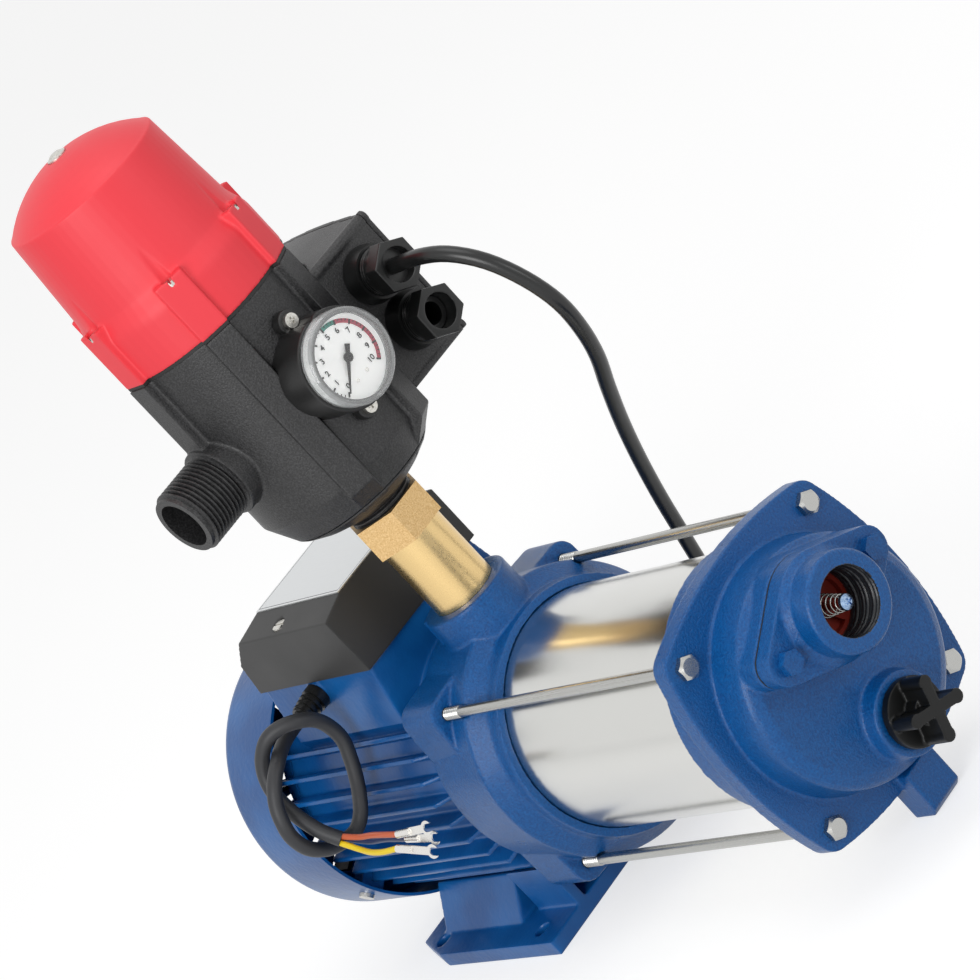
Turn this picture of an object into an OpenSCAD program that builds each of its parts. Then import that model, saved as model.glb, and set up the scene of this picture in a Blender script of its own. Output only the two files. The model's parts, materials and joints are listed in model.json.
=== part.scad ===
// Horizontal multistage pump with an electronic pressure controller on its outlet.
// The pump is drawn with its shaft along X: X = 0 is the front face of the suction
// cover's flange, +X points out of the inlet, and Z = 0 is the shaft axis.
// place() then puts the origin on the floor, at the centre of the foot's bolt holes.

/* [Shaft line] */
// Height of the fan cover over the floor
floor_gap = 9; // [5:0.5:20]
// Length of bare steel tube between the cover and the bracket
tube_show = 131; // [115:1:160]
// Number of pump stages inside the tube
stages = 5; // [3:1:6]
// Radius of the pump shaft under the impellers
shaft_r = 7; // [6:0.25:7.5]
// Half the spacing of the four tie bolts, across and upright
bolt_half = 49; // [48:0.5:52]
// Radius of the tie bolts' shanks
tie_r = 2.6; // [2.2:0.1:2.8]

/* [Steel tube] */
// Outer radius of the steel tube
tube_r = 56; // [54:0.5:57]
// Wall of the steel tube
tube_wall = 1.5; // [1:0.1:2]
// Depth of the tube's seat in each casting
tube_seat = 12; // [8:0.5:14]
// Thickness of the seal at each end of the tube
tube_seal_t = 2; // [1:0.5:3]

/* [Suction cover] */
// Thickness of the cover's flange
flange_t = 10; // [8:0.5:14]
// Radius of the flange's round part
flange_r = 66.5; // [64:0.5:70]
// Radius of the flange's corners round the bolts
corner_r = 10; // [8:0.5:12]
// Length of the collar behind the flange
collar_len = 20; // [16:1:30]
// Wall of both collars round the tube
collar_wall = 4.5; // [4:0.5:6.5]
// Radius of the domed face at its foot
dome_r = 56.5; // [56:0.5:59]
// Height of the domed face over the flange
dome_h = 20.7; // [18:0.1:24]
// Height of the inlet over the shaft axis
port_z = 29.7; // [28:0.1:30]
// Distance of the drain plug below the shaft axis
drain_z = 33.9; // [32:0.1:36]
// Half the width of the cover's small foot
cover_foot_half = 10; // [7:0.5:14]

/* [Inlet] */
// Radius over the crests of a one inch pipe thread
pipe_r = 16.6; // [16:0.1:17]
// Depth of the pipe thread
pipe_depth = 1.45; // [1:0.05:1.5]
// Pitch of the pipe thread
pipe_pitch = 2.309; // [2:0.001:2.6]
// Half the width of the lens-shaped flange between its screws
port_screw_y = 33.5; // [32.5:0.5:35]
// Radius of the lens-shaped flange at its middle
lens_mid_r = 25.5; // [25:0.5:27]
// Radius of the lens-shaped flange at its ends
lens_end_r = 10; // [8:0.5:11]
// Thickness of the lens-shaped flange
lens_t = 9.2; // [7:0.1:11]
// Length of the inlet socket in front of the lens-shaped flange
socket_len = 14.65; // [12:0.05:20]
// Radius of the inlet socket
socket_r = 22.4; // [21:0.1:24]

/* [Check valve] */
// Radius of the check valve's disc
valve_r = 15.5; // [14.5:0.1:16.5]
// Radius of the check valve's stem
stem_r = 2; // [1.5:0.1:2.5]
// Opening travel of the check valve
valve_travel = 6; // [3:0.5:7]
// Radius of the valve spring's wire
valve_wire_r = 0.4; // [0.3:0.05:0.5]
// Turns of the valve spring
valve_curls = 5; // [3:1:6]

/* [Drain plug] */
// Radius of the drain plug's thread
plug_r = 12; // [11:0.5:13]
// Pitch of the drain plug's thread
plug_pitch = 2; // [1.5:0.5:3]
// Radius of the drain plug's collar
plug_collar_r = 15.6; // [15:0.1:17]
// Height of the drain plug's wings
wing_h = 14; // [10:0.1:24]

/* [Discharge bracket] */
// Length of the bracket along the shaft
bracket_len = 53; // [50:1:60]
// Largest radius of the bracket
bracket_r = 68.5; // [67:0.5:71]
// Radius of the bracket's bolt lugs
lug_r = 9.3; // [8.5:0.1:10]
// Length of the bracket's bolt lugs
lug_len = 26.5; // [22:0.5:30]
// Distance of the outlet's axis behind the bracket's front edge
outlet_back = 26.6; // [25:0.1:28]
// Height of the outlet boss over the shaft axis
boss_z = 79.3; // [76:0.1:84]
// Radius of the outlet boss
boss_r = 23; // [20:0.5:24]

/* [Motor] */
// Length of the motor housing
motor_len = 136; // [130:1:160]
// Outer radius of the motor barrel between its fins
barrel_r = 60; // [59:0.5:62]
// Wall of the motor barrel
barrel_wall = 4; // [3:0.5:6]
// Height of the cooling fins over the barrel
fin_h = 9; // [6:0.5:10]
// Thickness of one fin
fin_t = 2.4; // [1.8:0.1:3]
// Angle from one fin to the next
fin_step = 10; // [8:1:15]
// Height of the fan cover over the tips of the fins
fan_cover_over = 6; // [4:0.5:8]
// Length of the fan cover
fan_cover_len = 50; // [46:1:60]
// Wall of the fan cover
fan_cover_wall = 1.5; // [1:0.1:2.5]
// Length of the rotor's iron core
core_len = 60; // [40:1:64]

/* [Foot] */
// Length of the foot along the shaft
foot_len = 124; // [116:1:130]
// Width of the foot
foot_w = 144; // [140:1:160]
// Thickness of the foot's plate
foot_t = 8; // [6:0.5:8]
// Spacing of the foot's bolt holes along the shaft
foot_bolt_x = 88; // [80:1:92]
// Spacing of the foot's bolt holes across the shaft
foot_bolt_y = 124; // [124:1:128]
// Radius of the foot's bolt holes
foot_hole_r = 4; // [3:0.25:4.5]

/* [Terminal box] */
// Length of the terminal cover along the shaft
term_len = 102; // [96:1:104]
// Width of the terminal cover
term_w = 88; // [84:1:96]
// Height of the terminal pad's top over the shaft axis
pad_z = 78; // [76:1:80]
// Height of the terminal cover at its long edges
term_side_h = 31; // [28:1:36]
// Height of the terminal cover's flat top over its edges
term_crown = 4; // [3:0.5:8]
// Wall of the plastic covers
case_wall = 2.5; // [2:0.25:3]
// Length of the bare label plate
label_len = 76; // [60:1:78]
// Width of the bare label plate
label_w = 56; // [40:1:57]

/* [Outlet adapter] */
// Radius of the brass adapter's round part
adapter_r = 16.2; // [16:0.1:18]
// Length of the brass adapter's round part
adapter_len = 39.2; // [33:0.1:48]
// Size across the flats of the brass hexagon
adapter_af = 36; // [35.5:0.5:40]
// Height of the brass hexagon
adapter_hex_h = 17.5; // [14:0.5:22]

/* [Controller] */
// Radius of the controller's body
body_r = 46.5; // [45:0.5:48]
// Height of the controller's body over its inlet thread
body_h = 116.6; // [112:0.1:130]
// Height of the controller's upright ribs over its body
rib_proud = 4; // [3.5:0.5:5.5]
// Width of the controller's upright ribs
rib_w = 14; // [10:0.5:15]
// Height of the red cap
cap_h = 94; // [85:0.5:110]
// Height of the outlet over the controller's bottom edge
outlet_up = 61.1; // [58:0.1:66]
// Distance of the outlet's tip from the controller's axis
outlet_reach = 79.3; // [72:0.1:90]
// Height of the gauge over the controller's bottom edge
gauge_up = 72.1; // [70:0.1:76]
// Radius of the gauge's cup
gauge_r = 23.5; // [22:0.1:24]
// Travel of the flow piston
flow_travel = 12; // [6:0.5:16]

/* [Electronics case] */
// Length of the electronics case along the shaft
case_len = 75; // [70:1:80]
// Height of the electronics case
case_h = 72; // [66:1:78]
// Depth of the electronics case behind the controller's body
case_depth = 24.5; // [22:0.5:34]
// Distance between the two cable glands
gland_gap = 28.3; // [26:0.1:32]
// Size across the flats of the gland nuts
gland_af = 22.4; // [20:0.2:23]
// Travel of the restart button
button_travel = 1.5; // [0.5:0.1:2]

/* [Leads] */
// Diameter of the mains lead
mains_d = 7.4; // [6:0.1:8]
// Diameter of the motor lead's sheath
motor_lead_d = 7.3; // [6:0.1:7.5]
// Diameter of one insulated wire
wire_d = 2.9; // [1.6:0.1:3.1]

/* [Hidden] */
round_fn = 64;
arc_steps = 14;
ear_steps = 8;
small_fn = 32;
cut = 1;
half_share = 0.5;

// Fits: a turning or sliding one, a gap between still pieces, a bolt in its hole, a close
// seat. Then the chamfer of small edges, and where a thread's crests and roots start and end
run_fit = 0.05;
still_gap = 0.3;
bolt_gap = 0.4;
seat_gap = 0.1;
edge = 1;
crest_shares = [0.1, 0.38, 0.62, 0.9];
root_shares = [0.2, 0.45, 0.55, 0.8];

// Places along the shaft
tube_front_x = -flange_t - collar_len;
bracket_x = tube_front_x - tube_show;
bracket_back_x = bracket_x - bracket_len;
motor_back_x = bracket_back_x - motor_len;
outlet_x = bracket_x - outlet_back;
tube_a = tube_front_x + tube_seat;
tube_b = bracket_x - tube_seat;
seat_a = tube_a + tube_seal_t;
seat_b = tube_b - tube_seal_t;
foot_front_gap = 14;
collar_r = tube_r + collar_wall;
fin_r = barrel_r + fin_h;
stator_r = barrel_r - barrel_wall;
barrel_mid = barrel_r / 2;
fan_cover_r = fin_r + fan_cover_over;
axis_h = fan_cover_r + floor_gap;
bolt_angles = [45, 135, 225, 315];
bolt_dist = bolt_half * sqrt(2);
foot_x = bracket_back_x - foot_front_gap - foot_len / 2;

// Pump inside
stage_room = 3;
stage_span = tube_a - tube_b - 2 * stage_room;
stage_pitch = stage_span / stages;
stage_x = tube_a - stage_room;
impeller_share = 0.4;
diffuser_share = 0.4;
impeller_len = stage_pitch * impeller_share;
diffuser_len = stage_pitch * diffuser_share;
disc_t = 2;
impeller_gap = 11;
impeller_r = tube_r - tube_wall - impeller_gap;
eye_r = 16;
bowl_r = tube_r - tube_wall - still_gap;
bowl_plate_x = -impeller_len - disc_t;
hub_wall = 4;
hub_r = shaft_r + hub_wall;
blade_t = 1.6;
blade_angle = 30;
blades = 6;
vanes = 8;
chamber_wall = 9;
chamber_r = dome_r - chamber_wall;
nut_t = 6;
nut_af = 17;
shaft_tip = 4;

// Bearings, with a 17 mm bore in front and a 15 mm bore behind
front_seat_r = 20;
front_bore_r = 8.5;
front_len = 12;
rear_seat_r = 17.5;
rear_bore_r = 7.5;
rear_len = 11;
bracket_wall = 8;
chamber_sink = 2;
chamber_back_x = bracket_back_x + front_len + bracket_wall - chamber_sink;
shaft_step_x = bracket_back_x + front_len + bracket_wall / 2;
seal_r = 16;
seal_seat_r = 17.5;
seal_len = 11;
seal_seat_t = 7;
seal_boss_h = 6;
seal_boss_r = 24;
seal_face_x = chamber_back_x + seal_boss_h;
seal_step_x = seal_face_x + seal_len / 2;
seal_seat_gap = 1;
rotor_shaft_r = 11;
slot_in = 13;
slot_mid_r = stator_r - slot_in;
winding_in = 19;
winding_out = 5;
winding_in_r = stator_r - winding_in;
winding_out_r = stator_r - winding_out;
rotor_in = 23.4;
rotor_r = stator_r - rotor_in;
air_gap = 0.5;
core_x = (bracket_back_x + motor_back_x) / 2 - core_len / 2;
end_ring_len = 8;
end_ring_in = 4.6;
end_ring_r = rotor_r - end_ring_in;
slot_count = 24;
slot_r = 2.8;
winding_len = 17;
shield_t = 8;
shield_floor_x = motor_back_x - shield_t + disc_t;
spigot_len = 4;
spigot_wall = 6;
rear_hub_r = 23;
rear_hub_gap = 1;
rear_hub_x = motor_back_x - rear_len;
shaft_tail = 36;
shaft_end_x = motor_back_x - shaft_tail;
fan_back = 17;
fan_front_x = motor_back_x - fan_back;
fan_len = 16;
fan_shaft_r = 6;
fan_hub_r = 14;
fan_gap = 12;
fan_r = fan_cover_r - fan_gap;
fan_plate_share = 0.66;
fan_blades = 7;
fan_plate_t = 2;

// Cover details
flange_cone = 6;
dome_taper = 3.5;
dome_top_r = dome_r - dome_taper;
dome_round = 4;
dome_wall = 8;
throat_r = 18.5;
port_boss_h = 7.55;
lens_x = dome_h + port_boss_h;
drain_boss_r = 18.5;
drain_boss_foot_r = 21;
drain_boss_x = lens_x;
cover_foot_back = -flange_t;
cover_foot_front = 7;
cover_foot_sink = 6.5;
cover_foot_top = cover_foot_sink - flange_r;
foot_chamfer = 5;
gasket_t = 0.8;
flange_face_x = lens_x + gasket_t;
lens_front_x = flange_face_x + lens_t;
socket_x = lens_front_x + socket_len;
socket_fillet = 3;
socket_chamfer = 1.2;
bore_r = pipe_r - pipe_depth;
hex_head_af = 10;
hex_head_h = 4;
m6_r = 3;

// Check valve details
guide_r = 19.9;
guide_t = 3;
guide_hole_r = 13.5;
guide_hub_r = 4.5;
guide_hub_h = 2;
guide_arm_w = 4;
guide_arms = 3;
guide_x = flange_face_x + guide_t;
hub_x = guide_x + guide_hub_h;
valve_disc_t = 3;
valve_x = flange_face_x - still_gap;
spring_pressed = 9;
spring_len = spring_pressed + valve_travel;
spring_x = hub_x;
spring_big_r = 5.2;
spring_small_r = 3.3;
valve_screw_r = 3.4;
valve_screw_h = 2.6;
valve_screw_x = spring_x + spring_len;
cross_w = 0.9;
cross_depth = 0.9;

// Drain plug details
plug_seal_t = 0.8;
plug_thread_len = 14.3;
plug_collar_x = drain_boss_x + plug_seal_t;
plug_collar_t = 4.2;
plug_hub_r = 6.5;
wing_t = 5.5;
wing_angle = -20;
wing_reach = 13.8;
wing_flare_r = 3.3;
seal_ring_w = 1.5;

// Tie bolts
tie_thread_len = 12;
tie_pitch = 1.5;
tie_end_gap = 6;
lug_x = bracket_back_x + lug_len;

// Bracket details
ridge_back = 15.3;
ridge_x = bracket_x - ridge_back;
ridge_step = 0.5;
ridge_side = 8;
bracket_taper = 2;
bracket_back_r = bracket_r - bracket_taper;
bracket_bore_r = tube_r + seat_gap;
chamber_step = 4;
bracket_chamber_r = tube_r - chamber_step;
bracket_passage_r = 12;
boss_root_z = 40;
ledge_w = 34;
ledge_back = 20;
ledge_drop = 1;
adapter_thread_len = 15.3;
port_room = 2;
port_depth = adapter_thread_len + port_room;

// Motor details
fin_front_gap = 5;
fin_chamfer = 7;
fin_root = 2;
term_gap = 11;
term_x = bracket_back_x - term_gap;
pad_in = 3;
pad_x = term_x - pad_in;
pad_short = 5;
pad_len = term_len - pad_short;
pad_narrow = 4;
pad_w = term_w - pad_narrow;
pad_flare = 6;
passage_in_x = 10;
passage_x = pad_x - passage_in_x;
passage_len = 20;
passage_in_y = 2;
passage_out_y = -30;
up_angle = 90;
down_angle = 270;
pad_bare_angle = 47;
leg_bare_from = 15;
leg_bare_to = 38;
fan_cover_lap = 9;
fan_cover_x = motor_back_x + fan_cover_lap;
fan_cover_end = fan_cover_x - fan_cover_len;
fan_cover_round = 8;
fan_cover_in_r = fan_cover_r - fan_cover_wall;
grille_slots = 24;
grille_in_r = 24;
grille_in = 13;
grille_out_r = fan_cover_r - grille_in;
grille_slot_w = 3.2;
ear_gap = 0.5;
ear_r = fan_cover_in_r - ear_gap;
ear_w = 12;
ear_len = 8;
ear_angles = [90, 210, 330];
cover_screw_r = 2;
cover_screw_head_r = 3.8;
cover_screw_head_h = 2;
cover_screw_len = 9;
cover_screw_end = ear_r - cover_screw_len;
cover_screw_x = motor_back_x - ear_len / 2;

// Foot details
saddle_gap = 1;
saddle_r = fin_r + saddle_gap;
foot_top = -axis_h + foot_t;
gusset_x = foot_x + foot_len / 2;
leg_back = 40;
leg_x = gusset_x - leg_back;
leg_len = 69;
leg_top_y = 37;
leg_foot_y = 57;
leg_rise = 20;
leg_top_z = leg_rise - saddle_r;
gusset_len = 34;
gusset_in_y = 42;
gusset_w = 6;
foot_corner_x = 24;
foot_corner_y = 10;
foot_screw_y = 30;
foot_screw_in = 14;
foot_screw_gap = 38;
foot_screw_xs = [leg_x - foot_screw_in, leg_x - foot_screw_in - foot_screw_gap];
foot_pad_w = 16;
foot_screw_sink = 7;
foot_screw_seat = foot_screw_sink - axis_h;
foot_screw_head_r = 5;
foot_screw_head_h = 5;
foot_screw_top = leg_top_z;

// Terminal box details
term_top_y = 28;
term_step_x = 77;
term_step_h = 17;
term_end_x = 97;
term_screw_y = 38;
term_screw_back = 48;
term_screw_x = term_x - term_screw_back;
term_screw_r = 2;
term_screw_head_r = 3.6;
term_screw_head_h = 1.6;
label_t = 0.6;
cap_can_r = 14;
cap_can_len = 60;
cap_can_y = 20;
lead_back = 56;
lead_x = term_x - lead_back;
lead_z = 71;
lead_gland_out = 2;
lead_gland_y = -pad_w / 2 - lead_gland_out;
lead_gland_len = 15;
lead_gland_r = 6.6;
lead_gland_tip_r = 5;
lead_gland_ribs = 4;
lead_gland_flange_t = 3;
lead_gland_neck = 10;
lead_gland_skin = 1.2;
lead_gland_step = 0.4;
term_screw_sink = 9;
label_gap = 0.8;
cap_can_gap = 18;

// Adapter and controller places
adapter_top = boss_z + adapter_len;
hex_top = adapter_top + adapter_hex_h;
adapter_bore_r = 12;
inlet_floor = 2;
adapter_turn = 32;
inlet_z = adapter_top + inlet_floor;
inlet_show = 3.9;
body_z = hex_top + inlet_show;
body_top = body_z + body_h;
inlet_bore_r = 11;
bowl_r_shares = [0.38, 0.66, 0.84, 1];
bowl_z_shares = [0, 0.048, 0.093, 0.22];
rib_r = body_r + rib_proud;
rib_angles = [30, 90, 150, 210, 270, 330];
rib_up = 8;
rib_z = body_z + rib_up;
rib_slope = 14;
rib_root_in = 12.5;
rib_root_r = body_r - rib_root_in;
seam_up = 10.2;
seam_z = body_z + seam_up;
seam_w = 1.2;
seam_depth = 0.8;
seam_in_r = bowl_r_shares[2] * body_r - seam_depth;
body_wall = 5;
outlet_z = body_z + outlet_up;
outlet_collar_r = 18.5;
outlet_collar_out = 6.5;
outlet_collar_y = body_r + outlet_collar_out;
outlet_bore_r = 12;
gauge_z = body_z + gauge_up;
guide_bar_w = 12;
guide_bar_t = 6;
guide_bar_up = 60;
guide_bar_z = body_z + guide_bar_up;
guide_bar_lap = 1;
piston_seat_up = 18;
piston_seat_z = body_z + piston_seat_up;
bowl_floor_in = 16.5;
bowl_floor_r = body_r - bowl_floor_in;
piston_r = 18;
piston_t = 5;
piston_top_z = piston_seat_z + piston_t;
piston_stem_r = 4;
piston_stem_over = 5;
piston_stem_len = guide_bar_up + guide_bar_t - piston_seat_up - piston_t
    + flow_travel + piston_stem_over;

// Cap
membrane_t = 1.5;
cap_z = body_top + membrane_t;
cap_lip = 1;
cap_foot_r = body_r + cap_lip;
cap_lug_proud = 3.5;
cap_lug_r = body_r + cap_lug_proud;
cap_lug_w = 15;
cap_lug_h = 31;
cap_wall = 3;
cap_r_shares = [1, 0.93, 0.862];
cap_z_shares = [0.22, 0.36, 0.84];
cap_flare_steps = 6;
cap_rim_w = 0.8;
cap_rim_r = cap_r_shares[2] * cap_foot_r - cap_rim_w;
cap_dome_h = cap_h - cap_z_shares[2] * cap_h;
cap_dome_r = (cap_rim_r * cap_rim_r + cap_dome_h * cap_dome_h) / (2 * cap_dome_h);
cap_dome_angle = asin(cap_rim_r / cap_dome_r);
cap_dome_steps = 9;
cap_screw_mid_r = body_r;
cap_screw_r = 2;
cap_screw_head_r = 3.4;
cap_screw_head_h = 2.4;
cap_screw_sink = 1.5;
cap_screw_len = 44;
cap_screw_seat = cap_z + cap_lug_h - cap_screw_sink - cap_screw_head_h;
cap_screw_tip = cap_screw_seat - cap_screw_len;
air_valve_r = 5;
air_valve_h = 2.6;
air_valve_stem_r = 3;
air_valve_stem = 7;
air_valve_sink = 1;

// Gauge
gauge_cup_out = 19.9;
gauge_cup_x = outlet_x + body_r + gauge_cup_out;
gauge_cup_in = 6;
gauge_back_x = outlet_x + body_r - gauge_cup_in;
gauge_stem_r = 4;
bezel_h = 6.5;
gauge_face_x = gauge_cup_x + bezel_h;
cup_lip = 1.5;
bezel_r = gauge_r - cup_lip;
bezel_w = 2;
bezel_in_r = bezel_r - bezel_w;
dial_t = 0.5;
dial_x = gauge_cup_x + still_gap;
lens_disc_t = 1.2;
lens_lip = 0.5;
needle_gap = 1;
needle_x = dial_x + dial_t + needle_gap;
needle_zero = 225;
needle_t = 0.6;
needle_hub_r = 2.2;
needle_len = 16;
needle_tail = 6;
needle_w = 1.2;
spindle_r = 0.8;
spindle_len = 3;
gauge_ear_gap = 2.5;
ear_out = gauge_r + gauge_ear_gap;
gauge_ear_r = 5.5;
gauge_ear_back = 14;
gauge_ear_x = gauge_cup_x - gauge_ear_back;
gauge_screw_len = 9;

// Electronics case
case_reach = body_r + case_depth;
case_lap = 14.5;
case_in_y = body_r - case_lap;
case_down = 32;
case_z = outlet_z - case_down;
case_top = case_z + case_h;
case_x = outlet_x + case_len / 2;
case_arch_r = 400;
bar_r = 3.2;
bar_out = 0.8;
bar_down = 1.6;
low_bar_r = 2;
panel_t = 3;
button_r = 6;
button_front = 14;
button_x = outlet_x + button_front;
button_up = 30;
button_z = case_z + button_up;
button_rest = 1;
button_proud = button_rest + button_travel;
button_flange_r = 8;
button_flange_t = 1;
gland_in = 17;
gland_y = case_reach - gland_in;
gland_up = 21.7;
gland_z = case_z + gland_up;
gland_base_r = 13.8;
gland_base_front_r = 12.6;
gland_base_len = 9.6;
gland_base_edge = 1.5;
gland_tube_r = 7.8;
gland_bore_r = 5.4;
gland_nut_back = 10;
gland_nut_len = 15;
gland_hex_len = 9;
gland_collar_r = 11.4;
gland_ring_w = 0.9;
gland_mouth_r = 8.1;
gland_insert_in = 5;
gland_insert_t = 4;
nut_front = gland_nut_back + gland_nut_len;
gland_tube_end = nut_front - gland_insert_in - gland_insert_t + edge;

// Route of the motor lead, from its gland to the end of its sheath
motor_route = [
    [9, -59, 155], [10, -69, 155], [14, -79, 155], [20, -89, 154], [22, -98, 150],
    [22, -105, 143], [22, -109, 135], [20, -110, 126], [18, -107, 116], [16, -100, 108],
    [14, -91, 103], [14, -82, 101], [15, -75, 104], [18, -70, 111], [21, -66, 119],
    [23, -62, 128], [25, -59, 138], [26, -60, 148], [27, -64, 156], [26, -71, 162],
    [22, -78, 165], [17, -84, 164], [11, -89, 158], [8, -93, 150], [9, -96, 142],
    [13, -98, 134], [18, -99, 126], [24, -99, 118], [30, -97, 110]
];
// Routes of the three wires from the sheath, and the tips of their forks
wire_routes = [
    [[41, -95, 108], [52, -95, 108], [64, -96, 108], [75, -96, 107]],
    [[41, -99, 104], [52, -101, 103], [64, -102, 103], [75, -101, 103]],
    [[41, -93, 103], [52, -92, 102], [64, -93, 102], [75, -94, 102]]
];
fork_tips = [[98, -92, 105], [98, -98, 95], [98, -93, 99]];
wire_ring_r = 1.9;
fork_r = 3.4;
fork_slot_r = 1.9;
fork_t = 0.8;
fork_crimp_r = 1.9;
fork_crimp_len = 9;
fork_face = [0, -0.85, 0.52];

// Route of the mains lead from its gland to the coil on the floor
mains_route = [
    [160, 54, 303], [182, 54, 303], [197, 57, 298], [208, 62, 286], [214, 67, 269],
    [215, 71, 251], [208, 75, 233], [196, 79, 215], [180, 82, 196], [162, 86, 174],
    [145, 90, 150], [129, 94, 124], [114, 98, 96], [100, 101, 68], [85, 102, 40],
    [66, 102, 17], [44, 102, 6], [20, 102, 3.7], [-2.6, 102, 3.7]
];
// Coil of the put-away length: two layers of turns, wound in and out again
coil_mid = [-10, 149];
coil_turns = 4;
coil_out_r = 47;
coil_step = 8.2;
coil_rings = 24;
coil_sides = 6;
tail_route = [[-17.4, 102, 11.9], [-36, 102, 12.4], [-54, 102, 14.4], [-72, 102, 17], [-90, 102, 19]];
lead_sides = 10;
wire_sides = 8;
rings_per_leg = 2;
plug_x = -90;
plug_y = 102;
plug_body_r = 19;
plug_relief_len = 34;
plug_relief_r = 5.4;
plug_neck_r = 9;
plug_body_len = 30;
plug_grip_w = 6;
pin_r = 2.4;
pin_half = 9.5;
pin_len = 19;

// Helpers
module place() {
    translate([-foot_x, 0, axis_h]) children();
}

module at_x(x0) {
    translate([x0, 0, 0]) rotate([90, 0, 90]) children();
}

module x_cyl(r, x0, x1, y = 0, z = 0) {
    translate([min(x0, x1), y, z]) rotate([0, 90, 0]) cylinder(h = abs(x1 - x0), r = r, $fn = round_fn);
}

module y_cyl(r, y0, y1, x, z) {
    translate([x, min(y0, y1), z]) rotate([-90, 0, 0]) cylinder(h = abs(y1 - y0), r = r, $fn = round_fn);
}

module z_cyl(r, z0, z1, x, y) {
    translate([x, y, min(z0, z1)]) cylinder(h = abs(z1 - z0), r = r, $fn = round_fn);
}

module x_hex(af, x0, x1, y = 0, z = 0) {
    translate([min(x0, x1), y, z]) rotate([0, 90, 0])
        cylinder(h = abs(x1 - x0), r = af / 2 / cos(180 / 6), $fn = 6);
}

module box(a, b) {
    translate([min(a.x, b.x), min(a.y, b.y), min(a.z, b.z)])
        cube([abs(b.x - a.x), abs(b.y - a.y), abs(b.z - a.z)]);
}

// Outline turned about X from points [radius, x]
module x_turn(points) {
    rotate([0, 90, 0]) rotate_extrude($fn = round_fn) polygon(points);
}

module z_turn(points, x = outlet_x, y = 0) {
    translate([x, y, 0]) rotate_extrude($fn = round_fn) polygon(points);
}

// Straight sides that run tangent to a middle circle and an end circle
function from_x(a) = [cos(a), sin(a)];
function turned(a, p) = [p.x * cos(a) - p.y * sin(a), p.x * sin(a) + p.y * cos(a)];

module tangent_web(mid_r, end_r, dist, angle) {
    swing = acos((mid_r - end_r) / dist);
    polygon([
        mid_r * [cos(angle + swing), sin(angle + swing)],
        mid_r * [cos(angle - swing), sin(angle - swing)],
        dist * [cos(angle), sin(angle)] + end_r * [cos(angle - swing), sin(angle - swing)],
        dist * [cos(angle), sin(angle)] + end_r * [cos(angle + swing), sin(angle + swing)]
    ]);
}

module ear_plate(mid_r, end_r, dist, angles) {
    circle(r = mid_r, $fn = round_fn);
    for (angle = angles) {
        tangent_web(mid_r, end_r, dist, angle);
        translate(dist * [cos(angle), sin(angle)]) circle(r = end_r, $fn = round_fn);
    }
}

// Plate with a wide arc on each side, that runs into the round corners
module arc_plate(mid_r, end_r, half) {
    far = (2 * half * half - pow(mid_r - end_r, 2)) / 2 / (mid_r - end_r - half);
    arc_r = mid_r + far;
    swing = atan(half / (half + far));
    polygon([for (turn = [0, 90, 180, 270]) each concat(
        [for (i = [0:arc_steps]) turned(turn,
            [-far, 0] + arc_r * from_x(swing * (2 * i / arc_steps - 1)))],
        [for (i = [1:ear_steps]) turned(turn,
            [half, half] + end_r * from_x(swing + (90 - 2 * swing) * i / (ear_steps + 1)))]
    )]);
}

module at_bolts() {
    for (y = [-bolt_half, bolt_half], z = [-bolt_half, bolt_half]) translate([0, y, z]) children();
}

module lens_outline(trim = 0) {
    translate([0, port_z]) ear_plate(lens_mid_r - trim, lens_end_r - trim, port_screw_y, [0, 180]);
}

// Thread crests as plain rings, for a thread that runs from z = 0 to len
function thread_count(len, pitch) = floor(len / pitch);
module outer_thread(r, depth, pitch, len) {
    count = thread_count(len, pitch);
    rotate_extrude($fn = round_fn) polygon(concat(
        [[0, 0], [r - depth, 0]],
        [for (i = [0:count - 1], k = [0:3])
            [k == 0 || k == 3 ? r - depth : r, (i + crest_shares[k]) * pitch]],
        [[r - depth, len], [0, len]]
    ));
}

module inner_thread_cut(r, depth, pitch, len) {
    count = thread_count(len, pitch);
    rotate_extrude($fn = round_fn) polygon(concat(
        [[0, 0], [r - depth, 0]],
        [for (i = [0:count - 1], k = [0:3])
            [k == 0 || k == 3 ? r - depth : r, (i + root_shares[k]) * pitch]],
        [[r - depth, len], [0, len]]
    ));
}

// Tube of even sides swept along points, smoothed by a cubic through each four of them
function cubic(a, b, c, d, t) = half_share * (2 * b + (c - a) * t
    + (2 * a - 5 * b + 4 * c - d) * t * t + (3 * b - a - 3 * c + d) * t * t * t);
function smooth(p, n) = concat(
    [for (i = [0:len(p) - 2], k = [0:n - 1])
        cubic(p[max(i - 1, 0)], p[i], p[i + 1], p[min(i + 2, len(p) - 1)], k / n)],
    [p[len(p) - 1]]);
function unit(v) = v / norm(v);
function tangents(p) = [for (i = [0:len(p) - 1])
    unit(p[min(i + 1, len(p) - 1)] - p[max(i - 1, 0)])];
function carried(n, t) = unit(n - (n * t) * t);
function normals(t, first) = [for (i = 0, n = carried(first, t[0]); i < len(t);
    i = i + 1, n = i < len(t) ? carried(n, t[i]) : n) n];
function tube_points(p, t, n, r, sides) = [for (i = [0:len(p) - 1], k = [0:sides - 1])
    p[i] + r * (cos(360 * k / sides) * n[i] + sin(360 * k / sides) * cross(t[i], n[i]))];
function tube_faces(rings, sides) = concat(
    [for (i = [0:rings - 2], k = [0:sides - 1], h = [0, 1]) h == 0
        ? [i * sides + k, (i + 1) * sides + k, i * sides + (k + 1) % sides]
        : [(i + 1) * sides + k, (i + 1) * sides + (k + 1) % sides, i * sides + (k + 1) % sides]],
    [[for (k = [0:sides - 1]) k]],
    [[for (k = [sides - 1:-1:0]) (rings - 1) * sides + k]]);
function square_ends(p, a, b) = concat([a], [for (i = [1:len(p) - 2]) tangents(p)[i]], [b]);
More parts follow.
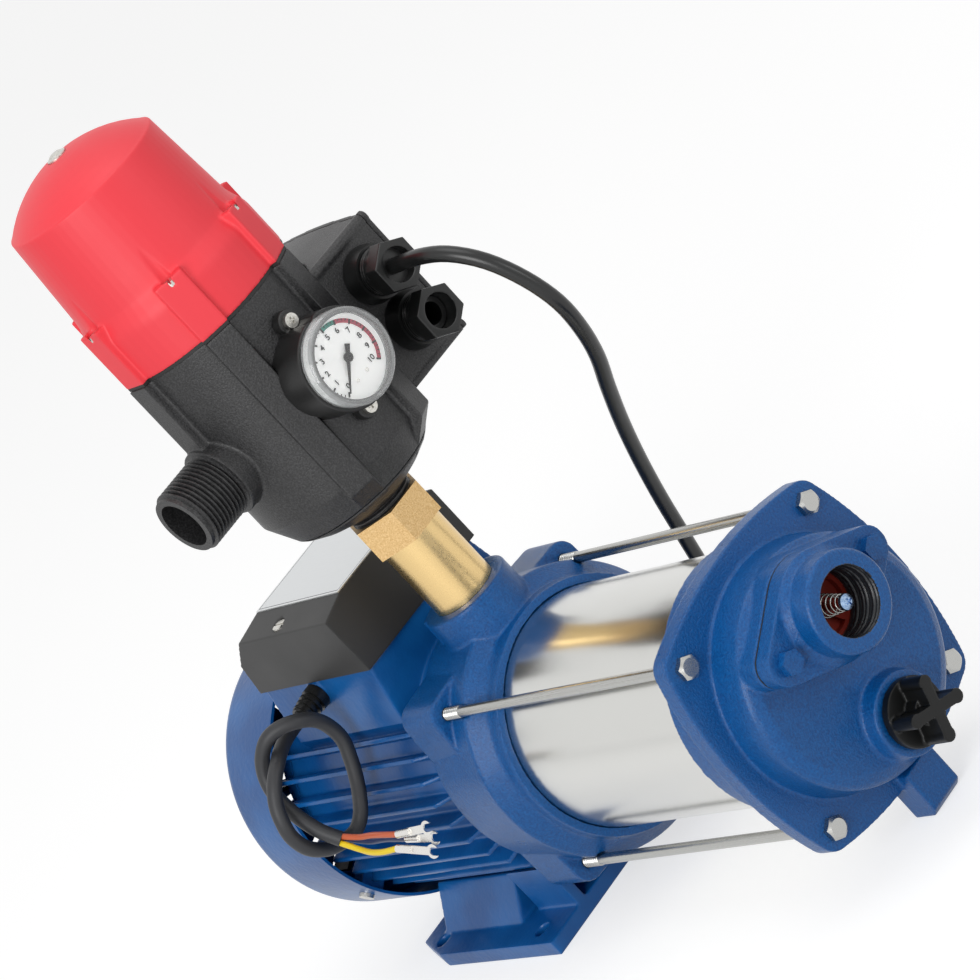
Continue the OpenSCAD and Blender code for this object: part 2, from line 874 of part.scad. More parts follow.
module tube_on(p, t, r, sides, first) {
    polyhedron(tube_points(p, t, normals(t, first), r, sides), tube_faces(len(p), sides), convexity = 10);
}

// Least gap between the skins of two stretches of one tube, turns apart
function least_gap(p, r, apart) = min([for (i = [0:len(p) - 1], j = [i + apart:1:len(p) - 1])
    norm(p[i] - p[j])]) - 2 * r;

// Suction side
module suction_cover() {
    color("royalblue") place() difference() {
        union() {
            at_x(-flange_t) linear_extrude(flange_t) arc_plate(flange_r, corner_r, bolt_half);
            x_turn([[0, tube_front_x], [collar_r, tube_front_x], [collar_r, -flange_t - flange_cone],
                [flange_r - edge, -flange_t], [dome_r, 0], [dome_top_r + dome_round / 2, dome_h - dome_round],
                [dome_top_r, dome_h - dome_round / 2], [dome_top_r - dome_round, dome_h], [0, dome_h]]);
            at_x(dome_h - dome_round) linear_extrude(lens_x - dome_h + dome_round) lens_outline();
            x_turn_at(-drain_z, [[0, 0], [drain_boss_foot_r, 0], [drain_boss_foot_r, dome_h - dome_round],
                [drain_boss_r, drain_boss_x], [0, drain_boss_x]]);
            cover_foot();
        }
        x_cyl(tube_r + run_fit, tube_front_x - cut, seat_a);
        x_cyl(chamber_r, seat_a - cut, dome_h - dome_wall);
        x_cyl(throat_r, 0, lens_x + cut, 0, port_z);
        x_cyl(plug_r + run_fit, 0, drain_boss_x + cut, 0, -drain_z);
        at_bolts() x_cyl(m6_r + bolt_gap, tube_front_x - cut, cut);
        for (y = [-port_screw_y, port_screw_y])
            x_cyl(m6_r, dome_h - dome_wall - cut, lens_x + cut, y, port_z);
    }
}

module x_turn_at(z, points) {
    translate([0, 0, z]) x_turn(points);
}

module cover_foot() {
    difference() {
        box([cover_foot_back, -cover_foot_half, -axis_h],
            [cover_foot_front, cover_foot_half, cover_foot_top]);
        translate([cover_foot_front, 0, -axis_h]) rotate([0, 45, 0])
            cube([foot_chamfer, 4 * cover_foot_half, foot_chamfer], center = true);
    }
}

module suction_gasket() {
    color("dimgray") place() difference() {
        at_x(lens_x) linear_extrude(gasket_t) lens_outline(still_gap);
        x_cyl(throat_r, lens_x - cut, flange_face_x + cut, 0, port_z);
        for (y = [-port_screw_y, port_screw_y])
            x_cyl(m6_r + bolt_gap, lens_x - cut, flange_face_x + cut, y, port_z);
    }
}

module suction_flange() {
    color("mediumblue") place() difference() {
        union() {
            at_x(flange_face_x) linear_extrude(lens_t) lens_outline();
            x_turn_at(port_z, [[0, flange_face_x], [socket_r, flange_face_x],
                [lens_mid_r, lens_front_x], [socket_r, lens_front_x + socket_fillet],
                [socket_r, socket_x - socket_chamfer],
                [socket_r - socket_chamfer, socket_x], [0, socket_x]]);
        }
        x_cyl(guide_r + run_fit, flange_face_x - cut, guide_x, 0, port_z);
        x_cyl(bore_r, guide_x - cut, socket_x + cut, 0, port_z);
        translate([hub_x, 0, port_z]) rotate([0, 90, 0])
            inner_thread_cut(pipe_r, pipe_depth, pipe_pitch, socket_x - hub_x);
        for (y = [-port_screw_y, port_screw_y])
            x_cyl(m6_r + bolt_gap, flange_face_x - cut, lens_front_x + socket_fillet, y, port_z);
    }
}

module suction_flange_screws() {
    color("mediumblue") place() for (y = [-port_screw_y, port_screw_y]) {
        x_hex(hex_head_af, lens_front_x, lens_front_x + hex_head_h, y, port_z);
        x_cyl(m6_r - run_fit, dome_h - dome_wall + cut, lens_front_x, y, port_z);
    }
}

module check_valve_guide() {
    color("firebrick") place() difference() {
        union() {
            difference() {
                x_cyl(guide_r, flange_face_x, guide_x, 0, port_z);
                x_cyl(guide_hole_r, flange_face_x - cut, guide_x + cut, 0, port_z);
            }
            translate([flange_face_x, 0, port_z]) for (i = [0:guide_arms - 1])
                rotate([360 * i / guide_arms + 90, 0, 0])
                    box([0, -guide_arm_w / 2, 0], [guide_t, guide_arm_w / 2, guide_hole_r + edge]);
            x_cyl(guide_hub_r, flange_face_x, hub_x, 0, port_z);
        }
        x_cyl(stem_r + run_fit, flange_face_x - cut, hub_x + cut, 0, port_z);
    }
}

module check_valve_disc() {
    color("red") place() {
        x_cyl(valve_r, valve_x - valve_disc_t, valve_x, 0, port_z);
        x_cyl(stem_r, valve_x - valve_disc_t, valve_screw_x, 0, port_z);
    }
}

module check_valve_screw() {
    color("silver") place() difference() {
        x_turn_at(port_z, [[0, valve_screw_x], [spring_small_r + valve_wire_r, valve_screw_x],
            [valve_screw_r, valve_screw_x + valve_screw_h / 2],
            [valve_screw_r / 2, valve_screw_x + valve_screw_h], [0, valve_screw_x + valve_screw_h]]);
        for (turn = [0, 90])
            translate([valve_screw_x + valve_screw_h - cross_depth / 2, 0, port_z]) rotate([turn, 0, 0])
                cube([cross_depth + 2 * run_fit, cross_w, valve_screw_r], center = true);
    }
}

// Conical spring that grows from the screw towards the hub
spring_rings = valve_curls * 8;
spring_ends = 2 * valve_wire_r;
spring_taper = spring_small_r - spring_big_r;
function spring_at(u) = let (r = spring_big_r + spring_taper * u, a = 360 * valve_curls * u)
    [spring_x + valve_wire_r + spring_ends + (spring_len - 2 * valve_wire_r - 2 * spring_ends) * u,
        r * cos(a), port_z + r * sin(a)];
spring_points = [for (i = [0:spring_rings]) spring_at(i / spring_rings)];
spring_line = concat([spring_points[0] - [spring_ends, 0, 0]], spring_points,
    [spring_points[spring_rings] + [spring_ends, 0, 0]]);
spring_tangents = concat([[1, 0, 0]], tangents(spring_points), [[1, 0, 0]]);
echo(spring_gap = least_gap(spring_points, valve_wire_r, 6));

module check_valve_spring() {
    color("lightgray") place() tube_on(spring_line, spring_tangents, valve_wire_r, 6, [0, 0, 1]);
}

module drain_plug() {
    color("black") place() translate([0, 0, -drain_z]) {
        translate([drain_boss_x - plug_thread_len, 0, 0]) rotate([0, 90, 0])
            outer_thread(plug_r, plug_pitch / 2, plug_pitch, plug_thread_len);
        x_cyl(plug_r - plug_pitch / 2, drain_boss_x - cut, plug_collar_x);
        x_cyl(plug_collar_r, plug_collar_x, plug_collar_x + plug_collar_t);
        x_cyl(plug_hub_r, plug_collar_x, plug_collar_x + plug_collar_t + wing_h / 2);
        for (turn = [0, 90]) rotate([turn + wing_angle, 0, 0]) {
            box([plug_collar_x, -wing_reach, -wing_t / 2],
                [plug_collar_x + plug_collar_t + wing_h, wing_reach, wing_t / 2]);
            for (y = [-wing_reach + wing_flare_r / 2, wing_reach - wing_flare_r / 2])
                x_cyl(wing_flare_r, plug_collar_x, plug_collar_x + plug_collar_t + wing_h, y);
        }
    }
}

module drain_plug_seal() {
    color("red") place() translate([0, 0, -drain_z]) difference() {
        x_cyl(plug_r + seal_ring_w, drain_boss_x, plug_collar_x);
        x_cyl(plug_r - plug_pitch / 2 + run_fit, drain_boss_x - cut, plug_collar_x + cut);
    }
}

module tie_bolts() {
    color("silver") place() at_bolts() {
        intersection() {
            x_hex(hex_head_af, 0, hex_head_h);
            rotate([0, 90, 0])
                cylinder(h = hex_head_h, r1 = hex_head_af / 2 + hex_head_h, r2 = hex_head_af / 2 - edge);
        }
        x_cyl(tie_r, lug_x + tie_thread_len - cut, 0);
        translate([bracket_back_x + tie_end_gap, 0, 0]) rotate([0, 90, 0])
            outer_thread(m6_r, m6_r - tie_r, tie_pitch, lug_len + tie_thread_len - tie_end_gap);
    }
}

// Pump body
module pump_tube() {
    color("gainsboro") place() difference() {
        x_cyl(tube_r, tube_b, tube_a);
        x_cyl(tube_r - tube_wall, tube_b - cut, tube_a + cut);
    }
}

module tube_seals() {
    color("black") place() for (x = [tube_a, seat_b]) difference() {
        x_cyl(tube_r - run_fit, x, x + tube_seal_t);
        x_cyl(tube_r - tube_wall - still_gap, x - cut, x + tube_seal_t + cut);
    }
}

module discharge_bracket() {
    color("royalblue") place() difference() {
        union() {
            x_turn([[0, bracket_back_x], [bracket_back_r, bracket_back_x],
                [bracket_back_r + ridge_step, bracket_back_x + ridge_side], [bracket_r, ridge_x],
                [collar_r, ridge_x + ridge_side], [collar_r, bracket_x], [0, bracket_x]]);
            at_x(bracket_back_x) linear_extrude(lug_len) ear_plate(collar_r, lug_r, bolt_dist, bolt_angles);
            z_cyl(boss_r, boss_root_z, boss_z, outlet_x, 0);
            box([outlet_x - ledge_back, -ledge_w / 2, boss_root_z],
                [outlet_x, ledge_w / 2, boss_z - ledge_drop]);
        }
        x_cyl(bracket_bore_r, seat_b, bracket_x + cut);
        bracket_inside();
        at_bolts() x_cyl(m6_r + run_fit, bracket_back_x - cut, lug_x + cut);
        at_bolts() x_cyl(m6_r + still_gap, lug_x, bracket_x + cut);
        z_cyl(bracket_passage_r, boss_root_z, boss_z + cut, outlet_x, 0);
        z_cyl(bore_r + seat_gap, boss_z - port_depth, boss_z + cut, outlet_x, 0);
        x_cyl(front_seat_r + run_fit, bracket_back_x - cut, bracket_back_x + front_len);
        x_cyl(front_bore_r + bolt_gap, bracket_back_x, seat_b);
        x_cyl(seal_seat_r + run_fit, chamber_back_x - seal_seat_t + seal_boss_h, seat_b);
    }
}

// Ring-shaped chamber round the seal boss
module bracket_inside() {
    x_turn([[0, chamber_back_x + seal_boss_h], [seal_boss_r, chamber_back_x + seal_boss_h],
        [seal_boss_r, chamber_back_x], [bracket_chamber_r, chamber_back_x],
        [bracket_chamber_r, seat_b + cut], [0, seat_b + cut]]);
}

// Pump inside: each stage is an impeller and the bowl behind it
function stage_at(i) = stage_x - i * stage_pitch;

module impellers() {
    color("burlywood") place() for (i = [0:stages - 1]) translate([stage_at(i), 0, 0]) difference() {
        union() {
            x_cyl(hub_r, -stage_pitch + seat_gap, 0);
            difference() {
                x_cyl(impeller_r, -disc_t, 0);
                x_cyl(eye_r, -disc_t - cut, cut);
            }
            x_cyl(impeller_r, -impeller_len, -impeller_len + disc_t);
            for (k = [0:blades - 1]) rotate([360 * k / blades, 0, 0]) translate([0, eye_r, 0])
                rotate([blade_angle, 0, 0]) box([-impeller_len + disc_t / 2, 0, 0],
                    [-disc_t / 2, impeller_r - eye_r - disc_t, blade_t]);
        }
        x_cyl(shaft_r + run_fit, -stage_pitch - cut, cut);
    }
}

module diffusers() {
    color("tan") place() for (i = [0:stages - 1]) translate([stage_at(i), 0, 0]) {
        difference() {
            x_cyl(bowl_r, -stage_pitch + seat_gap, 0);
            x_cyl(bowl_r - disc_t, bowl_plate_x, cut);
            x_cyl(bowl_r - disc_t, -stage_pitch - cut, bowl_plate_x - disc_t);
            x_cyl(hub_r + disc_t, -stage_pitch - cut, cut);
        }
        for (k = [0:vanes - 1]) rotate([360 * k / vanes, 0, 0])
            box([bowl_plate_x - disc_t - diffuser_len + disc_t, eye_r, 0],
                [bowl_plate_x - disc_t / 2, bowl_r - disc_t / 2, blade_t]);
    }
}

module shaft_nut() {
    color("silver") place() difference() {
        x_hex(nut_af, stage_x, stage_x + nut_t);
        x_cyl(shaft_r + run_fit, stage_x - cut, stage_x + nut_t + cut);
    }
}

module seal_rotary() {
    color("dimgray") place() difference() {
        x_turn([[0, seal_face_x + still_gap], [seal_r, seal_face_x + still_gap],
            [seal_r, seal_step_x], [seal_r - disc_t, seal_step_x],
            [seal_r - disc_t, seal_face_x + seal_len], [0, seal_face_x + seal_len]]);
        x_cyl(shaft_r + run_fit, seal_face_x - cut, seal_face_x + seal_len + cut);
    }
}

module seal_seat() {
    color("gainsboro") place() difference() {
        x_cyl(seal_seat_r, seal_face_x - seal_seat_t, seal_face_x);
        x_cyl(shaft_r + seal_seat_gap, seal_face_x - seal_seat_t - cut, seal_face_x + cut);
    }
}

module pump_shaft() {
    color("lightsteelblue") place() x_turn([[0, shaft_end_x], [fan_shaft_r, shaft_end_x],
        [fan_shaft_r, rear_hub_x - disc_t], [rear_bore_r, rear_hub_x - disc_t],
        [rear_bore_r, motor_back_x], [rotor_shaft_r, motor_back_x],
        [rotor_shaft_r, bracket_back_x], [front_bore_r, bracket_back_x],
        [front_bore_r, shaft_step_x], [shaft_r, shaft_step_x],
        [shaft_r, stage_x + nut_t + shaft_tip - edge], [shaft_r - edge, stage_x + nut_t + shaft_tip],
        [0, stage_x + nut_t + shaft_tip]]);
}

// Ball bearing as one ring with its shields set in
module bearing(x0, len, out_r, in_r) {
    wall = (out_r - in_r) / 4;
    recess = len / 16;
    x_turn([[in_r, x0], [in_r + wall, x0], [in_r + wall, x0 + recess], [out_r - wall, x0 + recess],
        [out_r - wall, x0], [out_r, x0], [out_r, x0 + len], [out_r - wall, x0 + len],
        [out_r - wall, x0 + len - recess], [in_r + wall, x0 + len - recess],
        [in_r + wall, x0 + len], [in_r, x0 + len]]);
}

module front_bearing() {
    color("silver") place() bearing(bracket_back_x, front_len, front_seat_r, front_bore_r + run_fit);
}

module rear_bearing() {
    color("silver") place() bearing(rear_hub_x, rear_len, rear_seat_r, rear_bore_r + run_fit);
}

// Motor
module rotor_core() {
    color("slategray") place() difference() {
        union() {
            x_cyl(rotor_r, core_x, core_x + core_len);
            x_cyl(end_ring_r, core_x - end_ring_len, core_x + core_len + end_ring_len);
        }
        x_cyl(rotor_shaft_r + run_fit, core_x - end_ring_len - cut, core_x + core_len + end_ring_len + cut);
    }
}

module stator_core() {
    color("slategray") place() difference() {
        x_cyl(stator_r, core_x, core_x + core_len);
        x_cyl(rotor_r + air_gap, core_x - cut, core_x + core_len + cut);
        for (i = [0:slot_count - 1]) rotate([360 * i / slot_count, 0, 0])
            x_cyl(slot_r, core_x - cut, core_x + core_len + cut, slot_mid_r);
    }
}

module stator_windings() {
    color("peru") place() {
        for (x = [core_x - winding_len, core_x + core_len + still_gap]) difference() {
            x_cyl(winding_out_r, x, x + winding_len - still_gap);
            x_cyl(winding_in_r, x - cut, x + winding_len);
        }
        for (i = [0:slot_count - 1]) rotate([360 * i / slot_count, 0, 0])
            x_cyl(slot_r - still_gap, core_x - 2 * cut, core_x + core_len + 2 * cut, slot_mid_r);
    }
}

// Angles without a fin: under the terminal pad, and where the foot's legs stand
function from_down(a) = abs(a - down_angle);
function bare(a) = abs(a - up_angle) < pad_bare_angle
    || from_down(a) > leg_bare_from && from_down(a) < leg_bare_to;
module fins() {
    front = bracket_back_x - fin_front_gap;
    for (a = [0:fin_step:359]) if (!bare(a)) rotate([a, 0, 0]) translate([0, 0, -fin_t / 2])
        linear_extrude(fin_t) polygon([[motor_back_x, barrel_r - fin_root], [motor_back_x, fin_r],
            [front - fin_chamfer, fin_r], [front, fin_r - fin_chamfer], [front, barrel_r - fin_root]]);
}

module motor_housing() {
    color("royalblue") place() difference() {
        union() {
            x_cyl(barrel_r, motor_back_x, bracket_back_x);
            fins();
            at_x(pad_x - pad_len) linear_extrude(pad_len) polygon([[-pad_w / 2, pad_z], [pad_w / 2, pad_z],
                [pad_w / 2 + pad_flare, pad_z - barrel_mid], [pad_w / 2, barrel_mid],
                [-pad_w / 2, barrel_mid], [-pad_w / 2 - pad_flare, pad_z - barrel_mid]]);
            intersection() {
                x_cyl(saddle_r - run_fit, leg_x - leg_len, leg_x);
                for (y = [-foot_screw_y, foot_screw_y])
                    box([leg_x - leg_len, y - foot_pad_w / 2, -saddle_r - cut],
                        [leg_x, y + foot_pad_w / 2, -barrel_mid]);
            }
            y_cyl(lead_gland_r, lead_gland_y, -pad_w / 2 + cut, lead_x, lead_z);
        }
        y_cyl(lead_gland_r + seat_gap, -pad_w, lead_gland_y, lead_x, lead_z);
        x_cyl(stator_r + run_fit, motor_back_x - cut, bracket_back_x + cut);
        box([passage_x - passage_len, passage_out_y, barrel_mid], [passage_x, passage_in_y, pad_z + cut]);
        y_cyl(lead_gland_tip_r, -pad_w, passage_out_y + cut, lead_x, lead_z);
        box([lead_x - lead_gland_tip_r, passage_out_y, lead_z - lead_gland_tip_r],
            [passage_x - cut, passage_out_y + 2 * lead_gland_tip_r, lead_z + lead_gland_tip_r]);
        for (y = [-term_screw_y, term_screw_y])
            z_cyl(term_screw_r + run_fit, pad_z - term_screw_sink, pad_z + cut, term_screw_x, y);
        for (x = foot_screw_xs, y = [-foot_screw_y, foot_screw_y])
            z_cyl(m6_r + run_fit, -saddle_r - cut, foot_screw_top + cut, x, y);
    }
}
module rear_end_shield() {
    color("royalblue") place() difference() {
        union() {
            x_cyl(barrel_r, motor_back_x - shield_t, motor_back_x);
            x_cyl(stator_r - run_fit, motor_back_x, motor_back_x + spigot_len);
            x_cyl(rear_hub_r, rear_hub_x - disc_t, motor_back_x);
            for (a = ear_angles) rotate([a, 0, 0])
                box([motor_back_x - ear_len, barrel_r - fin_root, -ear_w / 2],
                    [motor_back_x, ear_r, ear_w / 2]);
        }
        x_turn([[rear_hub_r, shield_floor_x], [stator_r - spigot_wall, shield_floor_x],
            [stator_r - spigot_wall, motor_back_x + spigot_len + cut],
            [rear_hub_r, motor_back_x + spigot_len + cut]]);
        x_cyl(rear_seat_r + run_fit, rear_hub_x, motor_back_x + spigot_len + cut);
        x_cyl(rear_hub_r + rear_hub_gap, motor_back_x, motor_back_x + spigot_len + cut);
        x_cyl(rear_bore_r + bolt_gap, rear_hub_x - disc_t - cut, motor_back_x);
        for (a = ear_angles) rotate([a, 0, 0])
            y_cyl(cover_screw_r, cover_screw_end - cut, ear_r + cut, cover_screw_x, 0);
    }
}

module cooling_fan() {
    color("darkslategray") place() difference() {
        union() {
            x_cyl(fan_hub_r, fan_front_x - fan_len, fan_front_x);
            x_cyl(fan_r * fan_plate_share, fan_front_x - fan_plate_t, fan_front_x);
            for (i = [0:fan_blades - 1]) rotate([360 * i / fan_blades, 0, 0])
                box([fan_front_x - fan_len + fan_plate_t, 0, -fan_plate_t / 2],
                    [fan_front_x, fan_r, fan_plate_t / 2]);
        }
        x_cyl(fan_shaft_r + run_fit, fan_front_x - fan_len - cut, fan_front_x + cut);
    }
}

// Quarter round between two points of a turned outline
function corner(r, x, round, n = 5) = [for (i = [0:n])
    [r - round + round * cos(90 * i / n), x + round - round * sin(90 * i / n)]];
module fan_cover() {
    color("royalblue") place() difference() {
        x_turn(concat([[0, fan_cover_x], [fan_cover_r, fan_cover_x]],
            corner(fan_cover_r, fan_cover_end, fan_cover_round), [[0, fan_cover_end]]));
        x_turn(concat([[0, fan_cover_x + cut], [fan_cover_in_r, fan_cover_x + cut]],
            corner(fan_cover_in_r, fan_cover_end + fan_cover_wall, fan_cover_round - fan_cover_wall),
            [[0, fan_cover_end + fan_cover_wall]]));
        for (i = [0:grille_slots - 1]) rotate([360 * i / grille_slots, 0, 0])
            box([fan_cover_end - cut, grille_in_r, -grille_slot_w / 2],
                [fan_cover_end + fan_cover_wall + cut, grille_out_r, grille_slot_w / 2]);
        for (a = ear_angles) rotate([a, 0, 0])
            y_cyl(cover_screw_r + bolt_gap, ear_r - cut, fan_cover_r + cut, cover_screw_x, 0);
    }
}

module fan_cover_screws() {
    color("silver") place() for (a = ear_angles) rotate([a, 0, 0]) {
        y_cyl(cover_screw_r - run_fit, cover_screw_end, fan_cover_r + run_fit, cover_screw_x, 0);
        y_cyl(cover_screw_head_r, fan_cover_r, fan_cover_r + cover_screw_head_h, cover_screw_x, 0);
    }
}

module motor_foot() {
    color("royalblue") place() difference() {
        union() {
            translate([foot_x, 0, -axis_h]) linear_extrude(foot_t) polygon([
                [foot_len / 2, -foot_w / 2], [foot_len / 2, foot_w / 2],
                [-foot_len / 2 + foot_corner_x, foot_w / 2], [-foot_len / 2, foot_w / 2 - foot_corner_y],
                [-foot_len / 2, -foot_w / 2 + foot_corner_y], [-foot_len / 2 + foot_corner_x, -foot_w / 2]]);
            at_x(leg_x - leg_len) linear_extrude(leg_len) polygon([[-leg_top_y, leg_top_z],
                [leg_top_y, leg_top_z], [leg_foot_y, foot_top], [-leg_foot_y, foot_top]]);
            for (side = [-1, 1])
                box([gusset_x - gusset_len, side * gusset_in_y, foot_top - cut],
                    [gusset_x, side * (gusset_in_y + gusset_w), leg_top_z]);
        }
        x_cyl(saddle_r, foot_x - foot_len, bracket_back_x);
        for (x = [-foot_bolt_x / 2, foot_bolt_x / 2], y = [-foot_bolt_y / 2, foot_bolt_y / 2])
            z_cyl(foot_hole_r, -axis_h - cut, foot_top + cut, foot_x + x, y);
        for (x = foot_screw_xs, y = [-foot_screw_y, foot_screw_y]) {
            z_cyl(m6_r + bolt_gap, -axis_h, leg_top_z, x, y);
            z_cyl(foot_screw_head_r + bolt_gap, -axis_h - cut, foot_screw_seat, x, y);
        }
    }
}

module foot_screws() {
    color("silver") place() for (x = foot_screw_xs, y = [-foot_screw_y, foot_screw_y]) {
        z_cyl(foot_screw_head_r, foot_screw_seat - foot_screw_head_h, foot_screw_seat, x, y);
        z_cyl(m6_r, foot_screw_seat, foot_screw_top, x, y);
    }
}

// Terminal box
function term_top(y) = pad_z + term_side_h + (term_w / 2 - y) / (term_w / 2 - term_top_y) * term_crown;
module term_shape(w) {
    top = pad_z + term_side_h;
    intersection() {
        at_x(term_x - term_len) linear_extrude(term_len) polygon([[-term_w / 2 + w, pad_z - w],
            [term_w / 2 - w, pad_z - w], [term_w / 2 - w, top - w], [term_top_y, top + term_crown - w],
            [-term_top_y, top + term_crown - w], [-term_w / 2 + w, top - w]]);
        translate([0, term_w / 2, 0]) rotate([90, 0, 0]) linear_extrude(term_w) polygon([
            [term_x - w, pad_z - w], [term_x - w, top + term_crown],
            [term_x - term_step_x + w / 2, top + term_crown],
            [term_x - term_end_x + w, top + term_crown - term_step_h - w / 2],
            [term_x - term_len + w, pad_z - w]]);
    }
}

module terminal_cover() {
    color("black") place() difference() {
        union() {
            difference() {
                term_shape(0);
                term_shape(case_wall);
            }
            intersection() {
                term_shape(0);
                for (y = [-term_screw_y, term_screw_y])
                    z_cyl(2 * term_screw_r, pad_z, pad_z + 2 * term_side_h, term_screw_x, y);
            }
        }
        for (y = [-term_screw_y, term_screw_y]) {
            z_cyl(term_screw_r + run_fit, pad_z - cut, pad_z + 2 * term_side_h, term_screw_x, y);
            z_cyl(term_screw_head_r + bolt_gap, term_top(term_screw_y) - term_screw_head_h,
                pad_z + 2 * term_side_h, term_screw_x, y);
        }
    }
}

module terminal_cover_screws() {
    color("silver") place() for (y = [-term_screw_y, term_screw_y]) difference() {
        seat = term_top(term_screw_y) - term_screw_head_h;
        union() {
            z_cyl(term_screw_r, pad_z - term_screw_sink + cut, seat, term_screw_x, y);
            z_cyl(term_screw_head_r, seat, seat + term_screw_head_h, term_screw_x, y);
        }
        translate([term_screw_x, y, seat + term_screw_head_h])
            cube([2 * term_screw_head_r, cross_w, cross_depth], center = true);
    }
}

module rating_plate() {
    color("gainsboro") place() box([term_x - label_gap - label_len, -label_w / 2, term_top(term_top_y)],
        [term_x - label_gap, label_w / 2, term_top(term_top_y) + label_t]);
}

module run_capacitor() {
    color("whitesmoke") place() x_cyl(cap_can_r, term_x - cap_can_gap - cap_can_len, term_x - cap_can_gap,
        cap_can_y, pad_z + cap_can_r + still_gap);
}

module motor_lead_gland() {
    rib = (lead_gland_len - lead_gland_flange_t) / lead_gland_ribs;
    color("black") place() translate([lead_x, lead_gland_y, lead_z]) {
        y_cyl(lead_gland_tip_r - run_fit, 0, lead_gland_neck, 0, 0);
        y_cyl(lead_gland_r, -lead_gland_flange_t, 0, 0, 0);
        y_cyl(motor_lead_d / 2 + lead_gland_skin, -lead_gland_len, 0, 0, 0);
        for (i = [0:lead_gland_ribs - 1])
            y_cyl(lead_gland_r - lead_gland_step * i, -lead_gland_flange_t - rib * (i + half_share),
                -lead_gland_flange_t - rib * i, 0, 0);
    }
}
module motor_lead() {
    color("black") tube_on(motor_route, concat([[0, -1, 0]], [for (i = [1:len(motor_route) - 1])
        tangents(motor_route)[i]]), motor_lead_d / 2, lead_sides, [0, 0, 1]);
}
echo(motor_lead_gap = least_gap(motor_route, motor_lead_d / 2, 6));

lead_end = motor_route[len(motor_route) - 1];
lead_way = unit(lead_end - motor_route[len(motor_route) - 2]);
lead_side = carried([0, 0, 1], lead_way);
function wire_line(k) = concat(
    [lead_end + wire_ring_r * (cos(120 * k) * lead_side + sin(120 * k) * cross(lead_way, lead_side))],
    wire_routes[k]);
wire_shades = ["saddlebrown", "gold", "navy"];
function wire_end(k) = wire_routes[k][len(wire_routes[k]) - 1];
module motor_lead_wires() {
    for (k = [0:2]) {
        line = smooth(wire_line(k), rings_per_leg);
        color(wire_shades[k]) tube_on(line, square_ends(line, lead_way, unit(fork_tips[k] - wire_end(k))),
            wire_d / 2, wire_sides, [0, 0, 1]);
    }
}

// Flat fork on a crimped barrel, along +X with its face up
module fork(len) {
    x_cyl(fork_crimp_r, 0, fork_crimp_len);
    translate([0, 0, -fork_t / 2]) linear_extrude(fork_t) difference() {
        union() {
            translate([fork_crimp_len - cut, -fork_crimp_r])
                square([len - fork_r - fork_crimp_len + cut, 2 * fork_crimp_r]);
            translate([len - fork_r, 0]) circle(r = fork_r, $fn = small_fn);
        }
        translate([len - fork_r, 0]) circle(r = fork_slot_r, $fn = small_fn);
        translate([len - fork_r, -fork_slot_r]) square([2 * fork_r, 2 * fork_slot_r]);
    }
}

module fork_terminals() {
    for (k = [0:2]) {
        foot = wire_end(k);
        way = unit(fork_tips[k] - foot);
        face = carried(fork_face, way);
        side = cross(face, way);
        color("silver") multmatrix([[way.x, side.x, face.x, foot.x], [way.y, side.y, face.y, foot.y],
            [way.z, side.z, face.z, foot.z], [0, 0, 0, 1]]) fork(norm(fork_tips[k] - foot));
    }
}

// Outlet adapter and pressure controller
module outlet_adapter() {
    color("goldenrod") place() difference() {
        union() {
            translate([outlet_x, 0, boss_z - adapter_thread_len])
                outer_thread(bore_r, pipe_depth, pipe_pitch, adapter_thread_len);
            z_cyl(bore_r - pipe_depth, boss_z - adapter_thread_len, boss_z + cut, outlet_x, 0);
            z_cyl(adapter_r, boss_z, adapter_top, outlet_x, 0);
            translate([outlet_x, 0, adapter_top]) rotate(adapter_turn)
                cylinder(h = adapter_hex_h, r = adapter_af / 2 / cos(180 / 6), $fn = 6);
        }
        z_cyl(adapter_bore_r, boss_z - adapter_thread_len - cut, hex_top, outlet_x, 0);
        z_cyl(pipe_r + run_fit, inlet_z, hex_top + cut, outlet_x, 0);
    }
}

module rib(angle, z0) {
    translate([outlet_x, 0, 0]) rotate([90, 0, angle]) translate([0, 0, -rib_w / 2]) linear_extrude(rib_w)
        polygon([[rib_root_r, z0], [rib_root_r + cut, z0], [rib_r, z0 + rib_slope],
            [rib_r, body_top + 2 * cut], [rib_root_r, body_top + 2 * cut]]);
}

function rib_start(angle) = angle == 270 ? outlet_z : angle == 90 ? case_top + still_gap : rib_z;

// Space taken by the body and its ribs, grown by a gap, that the gauge and the case lie against
module body_room(gap) {
    z_cyl(body_r + gap, body_z, body_top + cut, outlet_x, 0);
    for (angle = rib_angles) if (angle != 90)
        translate([outlet_x, 0, rib_start(angle)]) rotate([0, 0, angle])
            box([0, -rib_w / 2 - gap, 0], [rib_r + gap, rib_w / 2 + gap, body_h]);
}

